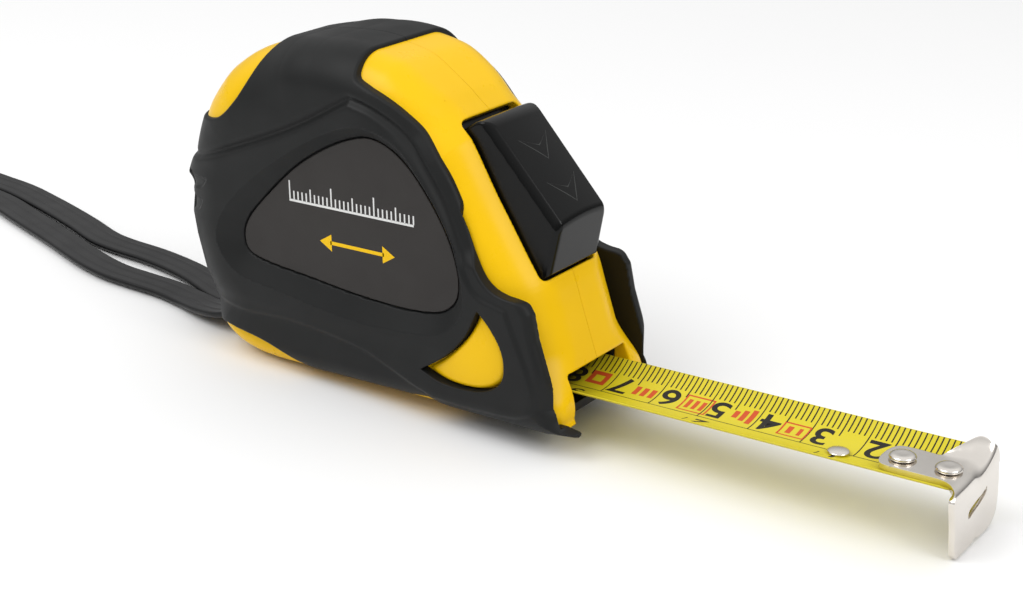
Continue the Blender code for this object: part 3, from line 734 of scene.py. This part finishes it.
def shell_field(x, y, z):
    """The yellow shells, both sides of the middle, with their mouth, lock slot and fin inserts."""
    wide = np.abs(y)
    under_grip = smoothstep((-36 - x) / 6) * smoothstep((30 - z) / 8) * smoothstep((z - 7) / 3)
    side = FLAT["shell"](x, z) + 0.6 * under_grip
    up, out = slot_frame(x, z)
    solid = both(side, wide - SHELL_HALF, shell_round(x, z))
    inner_side, inner_half = side + SHELL_WALL, wide - SHELL_HALF + SHELL_WALL
    hollow = both(inner_side, inner_half, shell_round(x, z) - SHELL_WALL)
    tape_end = common(slab(x, *TAPE_END_X), slab(z, *TAPE_END_Z), wide - TAPE_END_HALF)
    chin = np.minimum(x - TAPE_END_X[1], TAPE_END_Z[1] - z)
    hollow = np.maximum(np.minimum(hollow, tape_end), chin)
    hollow = without(hollow, common(SHELF_LOW - up, SHELF_OUT - out, wide - SHELF_HALF))
    shape = without(solid, hollow, 0.3)
    mouth = np.minimum(np.maximum(MOUTH_REAR - x, MOUTH_FLOOR - z), MOUTH_REAR + 2.5 - x)
    mouth = both(np.maximum(mouth, z - MOUTH_TOP), wide - MOUTH_HALF, 0.8)
    # Room in the shell for the black channel that paints the shade inside the mouth.
    shade_liner = slab(x, SHADE_LINER_REAR - 0.2, SHADE_LINER_FRONT + 0.1)
    shade_liner = common(shade_liner, z - SHADE_LINER_TOP - 0.05, wide - SHADE_LINER_HALF - 0.1)
    shape = without(without(shape, mouth, 0.35), shade_liner)
    depth = np.where(up > SLOT_SHELF, SLOT_SHALLOW, SLOT_DEEP) - out
    slot = both(np.maximum(slab(up, 0.2, SLOT_LENGTH), depth), wide - SLOT_HALF, 1.4)
    pocket = common(slab(up, SLOT_SHELF, POCKET_HIGH), slab(out, *POCKET_OUT), wide - POCKET_HALF)
    shape = without(shape, np.minimum(slot, pocket), 0.3)
    crown = wide - FIN_HALF + FIN_CROWN * ((x - FIN_AT[0]) ** 2 + (z - FIN_AT[1]) ** 2)
    fin = both(both(FLAT["fin"](x, z) + 0.2, crown, 1.0), FIN_FOOT - wide)
    recess = np.minimum(FLAT["frame"](x, z) + 0.6, FLAT["label"](x, z) - 1.2)
    shape = without(shape, both(recess, LABEL_BED - wide))
    return np.minimum(shape, fin)


def grip_round(x, z):
    """The side's corner radius: large over the top and back, small at the nose and along the base."""
    nose = smoothstep((x - 18) / 9) * smoothstep((33 - z) / 6)
    base = smoothstep((13 - z) / 9)
    round_nose = (GRIP_ROUND - 1.6) * np.maximum(nose * (1 - 0.35 * base), 0.75 * base)
    return GRIP_ROUND - round_nose - 4.0 * shoulder(x, z)


def side_height(x, z):
    """How far the grip's side stands from the middle, with its raised part, groove and label recess."""
    plateau = FLAT["plateau"](x, z)
    raised = PLATEAU_RISE * smoothstep(0.5 - plateau / 1.2)
    groove = GROOVE_DEPTH * np.exp(-((plateau - 0.4) / 0.8) ** 2) * smoothstep((z - 26) / 7)
    groove = groove * smoothstep((-FLAT["mask"](x, z) - 1.2) / 2.0)
    to_frame, to_label = -FLAT["frame"](x, z), FLAT["label"](x, z)
    depth = np.clip(to_frame / np.maximum(to_frame + np.maximum(to_label, 0), 1e-6), 0, 1)
    pocket = 0.5 * smoothstep(-(to_label - 0.22) / 0.2)
    notch = np.minimum(FLAT["notch"](x, z), FLAT["notch_low"](x, z))
    notch = NOTCH_DEPTH * smoothstep(0.5 - notch / 0.8)
    return GRIP_HALF + raised - groove - BEVEL_DEPTH * depth - pocket - notch


def grip_field(x, y, z):
    """The black grips, both sides of the middle, with the recess for the label."""
    wide = np.abs(y)
    outer = both(FLAT["grip"](x, z), wide - side_height(x, z), grip_round(x, z))
    shell = both(FLAT["shell"](x, z) + SKIN_DEPTH, wide - SHELL_HALF + SKIN_DEPTH, shell_round(x, z))
    recess = np.minimum(FLAT["frame"](x, z) + 0.7, FLAT["label"](x, z) - 1.1)
    shell = without(shell, both(recess, LABEL_BED + 0.1 - wide))
    outer = without(outer, common(2.4 - z, 20.0 - x, wide - 14.9))
    outer = both(outer, FLAT["mask"](x, z), 0.45)
    skin = without(outer, shell, 0.15)
    skin = without(skin, both(z - 2.35, wide - 10.5), 0.2)
    skin = without(skin, both(FLAT["fin"](x, z), FIN_FOOT + 0.2 - wide), 0.25)
    skin = without(skin, both(39.4 - x, wide - 13.2, 0.4), 0.3)
    bevel = (wide - 17.0 + 1.25 * (1.4 - z)) * 0.62 - 0.9 * smoothstep((6.0 - x) / 8.0)
    return both(skin, bevel, 0.3)


def liner_field(x, y, z):
    """A black channel inside the mouth, a floor and two cheeks, that stands in for the shade in there:
    painted shade.
    """
    wide = np.abs(y)
    outer = both(np.maximum(z - SHADE_LINER_TOP, wide - SHADE_LINER_HALF), slab(x, SHADE_LINER_REAR, SHADE_LINER_FRONT), 0.3)
    outer = np.maximum(outer, 0.05 - z)
    return without(outer, both(wide - MOUTH_HALF - 0.15, 1.9 - z, 0.4), 0.2)


def label_field(side):
    def film(x, y, z):
        depth = np.abs(side * y - LABEL_FACE + LABEL_T / 2) - LABEL_T / 2
        return both(FLAT["label"](x, z) + 0.12, depth, 0.12)
    return film


def case():
    shells = pair(("shell_left", "shell_right"), shell_field, (-51.5, 0, -1.2), (43.5, 18.8, 67.8))
    skins = pair(("skin_left", "skin_right"), grip_field, (-53.5, 0, -1.2), (47.0, 18.8, 68.8))
    for name, side, shell, skin in zip(("left", "right"), (-1, 1), shells, skins):
        place(shell, "case", "yellow", "yellow_plastic", f"case_{name}")
        place(skin, "case", "rubber", "grip_rubber", f"grip_{name}")
        low, high = sorted((side * (LABEL_FACE - 0.7), side * (LABEL_FACE + 0.3)))
        film = net(f"film_{name}", label_field(side), (-33.5, low, 16.5), (21.5, high, 51.0), 0.3)
        place(film, "case", "label", "label", f"label_{name}")
    # The black channel in the mouth is painted shade: it stands in for the shade inside the mouth.
    shade_liner = net("mouth_shade_liner", liner_field, (17.5, -11.2, -0.6), (41.4, 11.2, 12.8), 0.4)
    place(shade_liner, "case", "inner", "black_plastic", "mouth_guide")


def flat_marks(name, shapes, side, look):
    """Printed shapes on a label's face: each is a list of (along, up) corners read from left to right."""
    points, faces = [], []
    for shape in shapes:
        start = len(points)
        points += [(-side * u * MM, side * (LABEL_FACE + 0.02) * MM, v * MM) for u, v in shape]
        faces.append(list(range(start, start + len(shape))))
    place(flat_faces(name, points, faces), "case", look, "label")


def bar(u, v, width, height):
    return [(u, v), (u + width, v), (u + width, v + height), (u, v + height)]


def label_marks():
    """A plain ruler sign in white and a double arrow in yellow."""
    ruler = [bar(-19.0, 34.2, 29.2, 0.45)]
    for i in range(30):
        ruler.append(bar(-19.0 + i, 34.6, 0.32, 3.6 if i % 10 == 0 else 2.6 if i % 5 == 0 else 1.7))
    tips = [(-12.0, 27.65), (-9.2, 26.0), (-9.2, 29.3)], [(5.6, 27.65), (2.8, 29.3), (2.8, 26.0)]
    arrow = [bar(-9.5, 27.3, 12.6, 0.7), *tips]
    for name, side, shift, lift in (("left", -1, 0, 0), ("right", 1, -4.0, -9.5)):
        for word, shapes, look in (("ruler", ruler, "white"), ("arrow", arrow, "yellow")):
            moved = [[(u + shift, v + lift) for u, v in shape] for shape in shapes]
            flat_marks(f"{word}_{name}", moved, side, look)


# ---------------- lock

def button_top(up, wide):
    """The height of the button's crowned top over the slot's plane."""
    return 7.8 - 0.161 * (up - 6.7) + 0.7 * (1 - (wide / 8.0) ** 2)


def button_field(x, y, z):
    """The wedge-shaped thumb piece on a flat skirt that slides under the slot's upper edge."""
    up, out = slot_frame(x, z)
    wide = np.abs(y)
    top = (out - button_top(up, wide)) * 0.98
    foot = -(up - BUTTON_LOW) * 0.713 + (out - 1.0) * 0.701
    side = wide - BUTTON_HALF + 0.05 * np.maximum(out + 1.0, 0)
    chamfer = (side + top) * 0.707 + 0.85
    upper = both(both(both(top, up - BUTTON_HIGH, 2.6), side, 0.7), chamfer, 0.25)
    thumb = both(upper, both(foot, side, 1.5), 0.8)
    thumb = common(thumb, BUTTON_LOW - up, SKIRT_OUT[1] + 0.1 - out)
    # The skirt's black over the slot's floor also paints the shade in the gaps beside the button.
    skirt = common(slab(up, BUTTON_LOW + 0.5, SKIRT_HIGH), slab(out, *SKIRT_OUT), wide - SKIRT_HALF)
    return np.minimum(thumb, skirt)


def lock():
    button = net("button", button_field, (10.5, -8.9, 23.0), (41.5, 8.9, 57.5), 0.28)
    place(button, "lock", "gloss", "black_plastic", "lock_button")
    points, faces = [], []
    for tip in (19.2, 10.3):
        corners = [(tip, 0.0), (tip + 5.2, 4.3), (tip + 2.9, 0.0), (tip + 5.2, -4.3)]
        middle = np.mean(corners, axis=0)
        for (u, v), (p, q) in zip(corners, corners[1:] + corners[:1]):
            steps = 8
            for k in range(steps + 1):
                a, b = u + (p - u) * k / steps, v + (q - v) * k / steps
                for shrink in (0.0, 0.26):
                    toward = middle - (a, b)
                    toward /= np.linalg.norm(toward)
                    c, d = a + toward[0] * shrink, b + toward[1] * shrink
                    place_x, place_z = on_slot(c, button_top(c, abs(d)) + 0.02)
                    points.append((place_x * MM, d * MM, place_z * MM))
                if k < steps:
                    i = len(points) - 2
                    faces.append((i, i + 1, i + 3, i + 2))
    arrows = mesh_of("button_arrows", np.array(points), np.array(faces))
    place(arrows, "lock", "arrow", "black_plastic")


# ---------------- blade and its print

def on_blade(s, v, lift=0.0):
    """A point of the blade's upper face: s from the hook's inner face, v across it, towards the far edge."""
    angle = v / BLADE_R
    radius = BLADE_R - BLADE_T / 2 - lift
    height = BLADE_Z + BLADE_R - radius * math.cos(angle)
    return ((HOOK_X - s) * MM, radius * math.sin(angle) * MM, height * MM)


def strip(name, start, end, drop=0.0):
    """A length of the blade, closed, with its thickness."""
    across = np.linspace(-1, 1, 41) * BLADE_R * math.asin(BLADE_HALF / BLADE_R)
    along = np.linspace(start, end, max(2, round(abs(end - start) / 4)))
    section = [(v, -drop) for v in across] + [(v, -drop - BLADE_T) for v in across[::-1]]
    return swept(name, [[on_blade(s, v, lift) for v, lift in section] for s in along])


class Print:
    """Flat printed shapes laid on the curved blade."""

    def __init__(self):
        self.points, self.faces = [], []

    def patch(self, low_s, high_s, low_v, high_v):
        steps = max(1, round(abs(high_v - low_v) / 0.6))
        start = len(self.points)
        for k in range(steps + 1):
            v = low_v + (high_v - low_v) * k / steps
            self.points += [on_blade(low_s, v, 0.012), on_blade(high_s, v, 0.012)]
        for k in range(steps):
            i = start + 2 * k
            self.faces.append((i, i + 2, i + 3, i + 1))

    def frame(self, low_s, high_s, low_v, high_v, line):
        self.patch(low_s, low_s + line, low_v, high_v)
        self.patch(high_s - line, high_s, low_v, high_v)
        self.patch(low_s, high_s, low_v, low_v + line)
        self.patch(low_s, high_s, high_v - line, high_v)

    def number(self, text, middle_s, base_v, height, squeeze):
        """Numerals whose tops point to the near edge and which read towards the case."""
        curve = bpy.data.curves.new("numeral", "FONT")
        curve.body = text
        curve.size = height / 0.69
        curve.offset = 0.022 * height
        curve.align_x = "CENTER"
        glyph = added("numeral", curve)
        mesh = baked(glyph)
        bpy.data.objects.remove(glyph, do_unlink=True)
        shape = bmesh.new()
        shape.from_mesh(mesh)
        bmesh.ops.triangulate(shape, faces=shape.faces)
        for level in np.arange(-0.2, height + 0.6, 0.6):
            geometry = list(shape.verts) + list(shape.edges) + list(shape.faces)
            bmesh.ops.bisect_plane(shape, geom=geometry, plane_co=(0, level, 0), plane_no=(0, 1, 0))
        bmesh.ops.triangulate(shape, faces=shape.faces)
        shape.verts.index_update()
        start = len(self.points)
        for vert in shape.verts:
            self.points.append(on_blade(middle_s + vert.co.x * squeeze, base_v - vert.co.y, 0.012))
        for face in shape.faces:
            self.faces.append(tuple(start + vert.index for vert in face.verts))
        shape.free()
        bpy.data.meshes.remove(mesh)

    def make(self, name, look):
        made = flat_faces(name, self.points, self.faces)
        made.data.shade_smooth()
        place(made, "blade_tip", look, "blade")


def blade():
    split = HOOK_X - BLADE_SPLIT
    place(strip("tape", HOOK_X - BLADE_END, split), "blade_tip", "blade", "blade", "blade")
    run = strip("tape_run", split + 0.1, HOOK_X - 2.0, 0.35)
    place(run, "case", "blade", "blade", "blade_run")
    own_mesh(run)
    black, red = Print(), Print()
    edge = BLADE_R * math.asin(BLADE_HALF / BLADE_R) - 0.06
    line_v = -0.7
    for s in range(2, int(split)):
        if s % 10 == 0:
            black.patch(s - 0.11, s + 0.11, line_v, edge)
        else:
            black.patch(s - 0.13, s + 0.13, edge - (5.2 if s % 5 == 0 else 3.7), edge)
    black.patch(1.0, split, line_v - 0.1, line_v + 0.1)
    for cm in range(1, 9):
        black.number(str(cm), 10 * cm - 2.4, 5.2, 4.9, 1.12)
    for k in range(1, 25):
        s = INCH * k / 8
        if s < split:
            length = 7.0 if k % 8 == 0 else 3.4 if k % 4 == 0 else 2.6 if k % 2 == 0 else 1.7
            black.patch(s - 0.12, s + 0.12, -edge, -edge + length)
    for inch in (1, 2, 3):
        black.number(str(inch), INCH * inch - 2.9, -2.2, 3.6, 1.1)
    red.frame(30.0, 35.2, 0.4, 4.6, 0.35)
    red.patch(31.2, 31.9, 1.4, 3.6)
    red.patch(33.0, 34.0, 1.4, 3.6)
    red.frame(49.2, 54.9, 0.2, 5.2, 0.35)
    red.frame(71.0, 74.9, 1.5, 5.4, 1.0)
    for k in range(3):
        red.patch(40.7 + 1.5 * k, 41.7 + 1.5 * k, 1.0 + 0.5 * k, 5.3 - 0.6 * k)
        red.patch(50.4 + 1.4 * k, 51.2 + 1.4 * k, 1.3, 4.1)
        red.patch(60.6 + 1.6 * k, 61.6 + 1.6 * k, 1.3, 4.0)
    black.make("tape_scale", "ink")
    red.make("tape_marks", "red")


# ---------------- hook, rivets, screws and clip

# The hook's outer face in rows from the tongue's rear end to the plate's foot, each from near to far.
# Heights are over the tongue's top.
TONGUE_TOP, PLATE_X = TONGUE_Z + TONGUE_T, HOOK_X + HOOK_T - 0.02
TONGUE_ROWS = (
    ((95.9, -3.7), (95.2, -2.2), (95.1, 0), (95.2, 2.2), (95.9, 3.7)),
    ((96.8, -4.4), (96.7, -2.6), (96.7, 0), (96.7, 2.6), (96.8, 4.4)),
    ((100.3, -4.4), (100.3, -2.6), (100.3, 0), (100.3, 2.6), (100.3, 4.4)),
)
EAR_ROWS = (
    ((103.3, -4.4, 0), (103.3, -2.6, 0), (103.3, 0, 0), (103.3, 2.4, 0),
     (103.3, 4.2, 0), (103.5, 4.4, 0.02), (103.6, 4.55, 0.05), (103.7, 4.7, 0.1)),
    ((105, -4.4, 0), (105, -2.7, 0), (105.1, -0.1, 0), (105.2, 2, 0),
     (105.3, 3.5, 0), (105.3, 4.8, 0.2), (105.2, 5.6, 0.75), (105.1, 5.9, 1.15)),
    ((106.8, -4.4, 0), (106.8, -2.8, 0), (106.8, -0.4, 0), (106.9, 1.7, 0),
     (106.9, 3.4, 0), (106.9, 5.3, 0.2), (106.7, 6.7, 1.3), (106.5, 7.1, 2.1)),
    ((108.7, -4.9, 0), (108.7, -3.4, 0), (108.6, -1, 0), (108.5, 1.3, 0),
     (108.4, 3.2, 0.02), (108.3, 5.5, 0.25), (108.1, 7.4, 1.5), (107.9, 8.3, 3.1)),
    ((110.3, -6.6, -0.1), (110.3, -5, -0.1), (110.3, -2, -0.1), (109.8, 0.8, -0.15),
     (109, 3.2, -0.1), (108.7, 5.7, 0.2), (108.7, 7.7, 1.4), (108.9, 8.8, 3.1)),
    ((PLATE_X, -7.9, -0.9), (PLATE_X, -6.2, -0.9), (PLATE_X, -2.4, -0.8), (110.9, 0.6, -0.6),
     (110, 3.4, -0.4), (109.6, 5.9, 0.1), (109.8, 7.9, 1.2), (110.4, 9, 2.3)),
)
# The plate's rows: six places across that they share, then each row's last two places and its heights.
PLATE_ACROSS = (-8.6, -6.6, -2.5, 0.6, 3.5, 6.1)
PLATE_ROWS = (
    ((8.2, 9.8), (-2.4, -2.4, -2.3, -2.0, -1.2, -0.1, 0.9, 1.3)),
    ((8.4, 10.6), (-4.5, -4.5, -4.4, -4.1, -3.5, -2.8, -2.0, -1.6)),
    ((8.4, 11.2), (-7.5, -7.5, -7.4, -7.3, -7.1, -6.9, -6.8, -6.7)),
    ((8.4, 11.2), (-10.5,) * 8),
    ((8.4, 11.2), (-13.4,) * 8),
)
PLATE_OUTLINE = (
    (-14, 14, 1), (-14, 6.5, 1), (-8.4, 5.2, 1), (-8, 2.4), (-7.4, -0.5), (-6.9, -4.2), (-6.6, -5.8, 1),
    (-5.9, -6.6, 1), (0.4, -6.45), (1.2, -6.15), (2.4, -6.1), (3.4, -6.5), (6.8, -6.55), (8.8, -6.1),
    (10.2, -4.9), (10.7, -3), (10.75, -0.5), (10.5, 2.4), (10.1, 4.4, 1), (14, 5.5, 1), (14, 14, 1),
)
NAIL_SLOT = (
    (-1.9, -0.9), (-1.5, 0.3), (0.6, 0.9), (3.6, 1.3), (5.3, 1.9), (5.6, 1.4), (5.2, 0.7), (3.2, -0.1),
    (0.6, -0.7), (-1, -1.2),
)


def prism_x(outline, low, high):
    """A cutter: an outline in (y, z) carried along x."""
    count = len(outline)
    points = [(x * MM, y * MM, z * MM) for x in (low, high) for y, z in outline]
    faces = [tuple(range(count))[::-1], tuple(range(count, 2 * count))]
    faces += [(i, (i + 1) % count, (i + 1) % count + count, i + count) for i in range(count)]
    made = flat_faces("cutter", points, faces)
    seal(made)
    return made


def hook_sheet():
    """The hook: one smooth sheet with its thickness, trimmed to the plate's outline, with a nail slot."""
    rows = [[(x, y, 0) for x, y in row] for row in TONGUE_ROWS] + list(EAR_ROWS)
    for ends, heights in PLATE_ROWS:
        rows.append([(PLATE_X, y, z) for y, z in zip(PLATE_ACROSS + ends, heights)])
    points, faces, starts = [], [], []
    for row in rows:
        starts.append(len(points))
        points += [(x * MM, y * MM, (TONGUE_TOP + z) * MM) for x, y, z in row]
    for i, (row, after) in enumerate(zip(rows, rows[1:])):
        for j in range(min(len(row), len(after)) - 1):
            a, b = starts[i] + j, starts[i + 1] + j
            faces.append((a, b, b + 1, a + 1))
    rough = flat_faces("hook_net", points, faces)
    smooth = rough.modifiers.new("smooth", "SUBSURF")
    smooth.levels = 3
    thick = rough.modifiers.new("thick", "SOLIDIFY")
    thick.thickness = 1.05 * MM
    thick.offset = -1
    cutters = (prism_x(spline(PLATE_OUTLINE, 6), 80, 130), prism_x(spline(NAIL_SLOT, 4), 108, 114))
    for cutter, operation in zip(cutters, ("INTERSECT", "DIFFERENCE")):
        cut = rough.modifiers.new("cut", "BOOLEAN")
        cut.object, cut.operation, cut.solver = cutter, operation, "EXACT"
    round_off = rough.modifiers.new("round", "BEVEL")
    round_off.width, round_off.segments, round_off.angle_limit = 0.10 * MM, 2, math.radians(60)
    mesh = baked(rough)
    for old in (rough, *cutters):
        bpy.data.objects.remove(old, do_unlink=True)
    mesh.shade_smooth()
    mesh.set_sharp_from_angle(angle=math.radians(40))
    return added("hook_sheet", mesh)


def turned(name, profile, where, steps=40):
    """A turned piece: (radius, height) points from the top's middle to the bottom's, in millimetres."""
    points, faces = [], []
    for i, (radius, height) in enumerate(profile):
        for k in range(steps):
            a = 2 * math.pi * k / steps
            u, v = radius * math.cos(a), radius * math.sin(a)
            points.append([(base + offset) * MM for base, offset in zip(where, (u, v, height))])
            if i:
                last, after = (i - 1) * steps, (k + 1) % steps
                faces.append((last + k, i * steps + k, i * steps + after, last + after))
    made = mesh_of(name, np.array(points), np.array(faces))
    seal(made)
    return made


def dome(radius, low, high, steps=8):
    """A domed head's profile from its middle down to its rim."""
    turns = np.linspace(0, math.pi / 2, steps)
    return [(radius * math.sin(a), low + (high - low) * math.cos(a)) for a in turns]


# A hook rivet's profile: its head over the tongue, as (radius, height), and its foot under the blade.
RIVET_HEAD = (
    (0.0, 0.92), (0.9, 0.95), (1.5, 0.98), (1.9, 0.90), (2.2, 0.68), (2.33, 0.42), (2.25, 0.20), (1.8, 0.08),
    (1.1, 0.04),
)
RIVET_FOOT = [(1.1, 3.5), (1.6, 3.5), (1.4, 3.2), (0.0, 3.15)]
MARK_FOOT = [(1.9, 4.6), (0.9, 4.55), (0.9, 3.7), (1.2, 3.68), (1.1, 3.5), (0.0, 3.48)]


def hook():
    place(hook_sheet(), "hook", "nickel", "steel", "hook")
    for name, x in zip(("rivet_front", "rivet_rear"), RIVETS):
        profile = [(radius, TONGUE_TOP + height) for radius, height in RIVET_HEAD] + RIVET_FOOT
        place(turned(name + "_head", profile, (x + 1.0, -0.5, 0)), "blade_tip", "nickel", "steel", name)
    x, y = MARK_RIVET
    profile = dome(1.95, 4.75, 5.25) + MARK_FOOT
    place(turned("mark_stud", profile, (x, y, 0)), "blade_tip", "nickel", "steel", "mark_rivet")


def screw_field(cx, cz, head, reach):
    """A cross-headed screw along Y: its head's face at head, its end at reach."""
    def screw(x, y, z):
        u, v = x - cx, z - cz
        radius = np.hypot(u, v)
        top = both(y - head + 0.035 * radius ** 2, radius - 2.4, 0.3)
        top = np.maximum(top, head - 1.3 - y)
        shank = common(radius - 1.0 + 0.12 * np.cos(y * 7.8), y - head + 0.8, reach - y)
        u, v = np.abs(u), np.abs(v)
        cross = np.minimum(np.maximum(u - 0.32, v - 1.45), np.maximum(v - 0.32, u - 1.45))
        return np.minimum(without(top, np.maximum(cross, head - 0.9 - y), 0.1), shank)
    return screw


CASE_SCREWS = ((-16.45, 60.07), (-36.18, 46.25), (-38.28, 22.25), (23.2, 14.2))
CLIP_SCREW = (-6.0, 40.0)


def screws():
    rows = [(f"case_screw_{i}", x, z, 17.2, -9.0) for i, (x, z) in enumerate(CASE_SCREWS, 1)]
    rows.append(("clip_screw", *CLIP_SCREW, 20.4, 12.0))
    for name, x, z, head, reach in rows:
        low, high = (x - 2.9, reach - 0.7, z - 2.9), (x + 2.9, head + 0.7, z + 2.9)
        made = net(name + "_cross", screw_field(x, z, head, reach), low, high, 0.26)
        place(made, "case", "nickel", "steel", name)


CLIP_HALF, CLIP_T = 7.0, 0.84
# The middle and half of the clip's height, and its line seen from the front as (y, z).
CLIP_Z = (25.1, 22.5)
CLIP_LINE = (
    (18.75, 47), (18.75, 42), (18.75, 36.5), (19.5, 33.4), (22, 30), (23.1, 26.5), (23.35, 20), (23.35, 13),
    (22.5, 9.4), (20.6, 6.2), (20.4, 4.6), (21.6, 3.2),
)


def clip_field(x, y, z):
    best = 1e9
    line = spline(CLIP_LINE, 5, closed=False)
    for a, b in zip(line, line[1:]):
        edge = b - a
        t = np.clip(((y - a[0]) * edge[0] + (z - a[1]) * edge[1]) / (edge @ edge), 0, 1)
        best = np.minimum(best, np.hypot(y - a[0] - t * edge[0], z - a[1] - t * edge[1]))
    across = x - CLIP_SCREW[0]
    corner = both(np.abs(across) - CLIP_HALF, np.abs(z - CLIP_Z[0]) - CLIP_Z[1], 2.0)
    rib = 0.35 * np.exp(-(across / 1.6) ** 2) * smoothstep((z - 10) / 4) * smoothstep((31 - z) / 4)
    sheet = both(best - CLIP_T / 2 - rib, corner, 0.2)
    return np.maximum(sheet, 1.4 - np.hypot(across, z - CLIP_SCREW[1]))


def belt_clip():
    made = net("clip_sheet", clip_field, (-13.6, 17.9, 2.0), (1.6, 24.6, 48.2), 0.32)
    place(made, "case", "nickel", "steel", "belt_clip")


def carried():
    """CAD pieces that keep their own shape."""
    looks = {
        "inner": ("drum", "lock_arm", "brake_shoe"),
        "nickel": ("centre_post", "strap_pin"),
        "spring": ("power_spring", "drum_cover"),
        "blade": ("blade_coil", "blade_lead"),
    }
    for look, names in looks.items():
        for name in names:
            dress(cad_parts[name].data, look)


camera()
sky()
lamps()
ground()
wrist_strap()
case()
label_marks()
lock()
blade()
hook()
screws()
belt_clip()
carried()
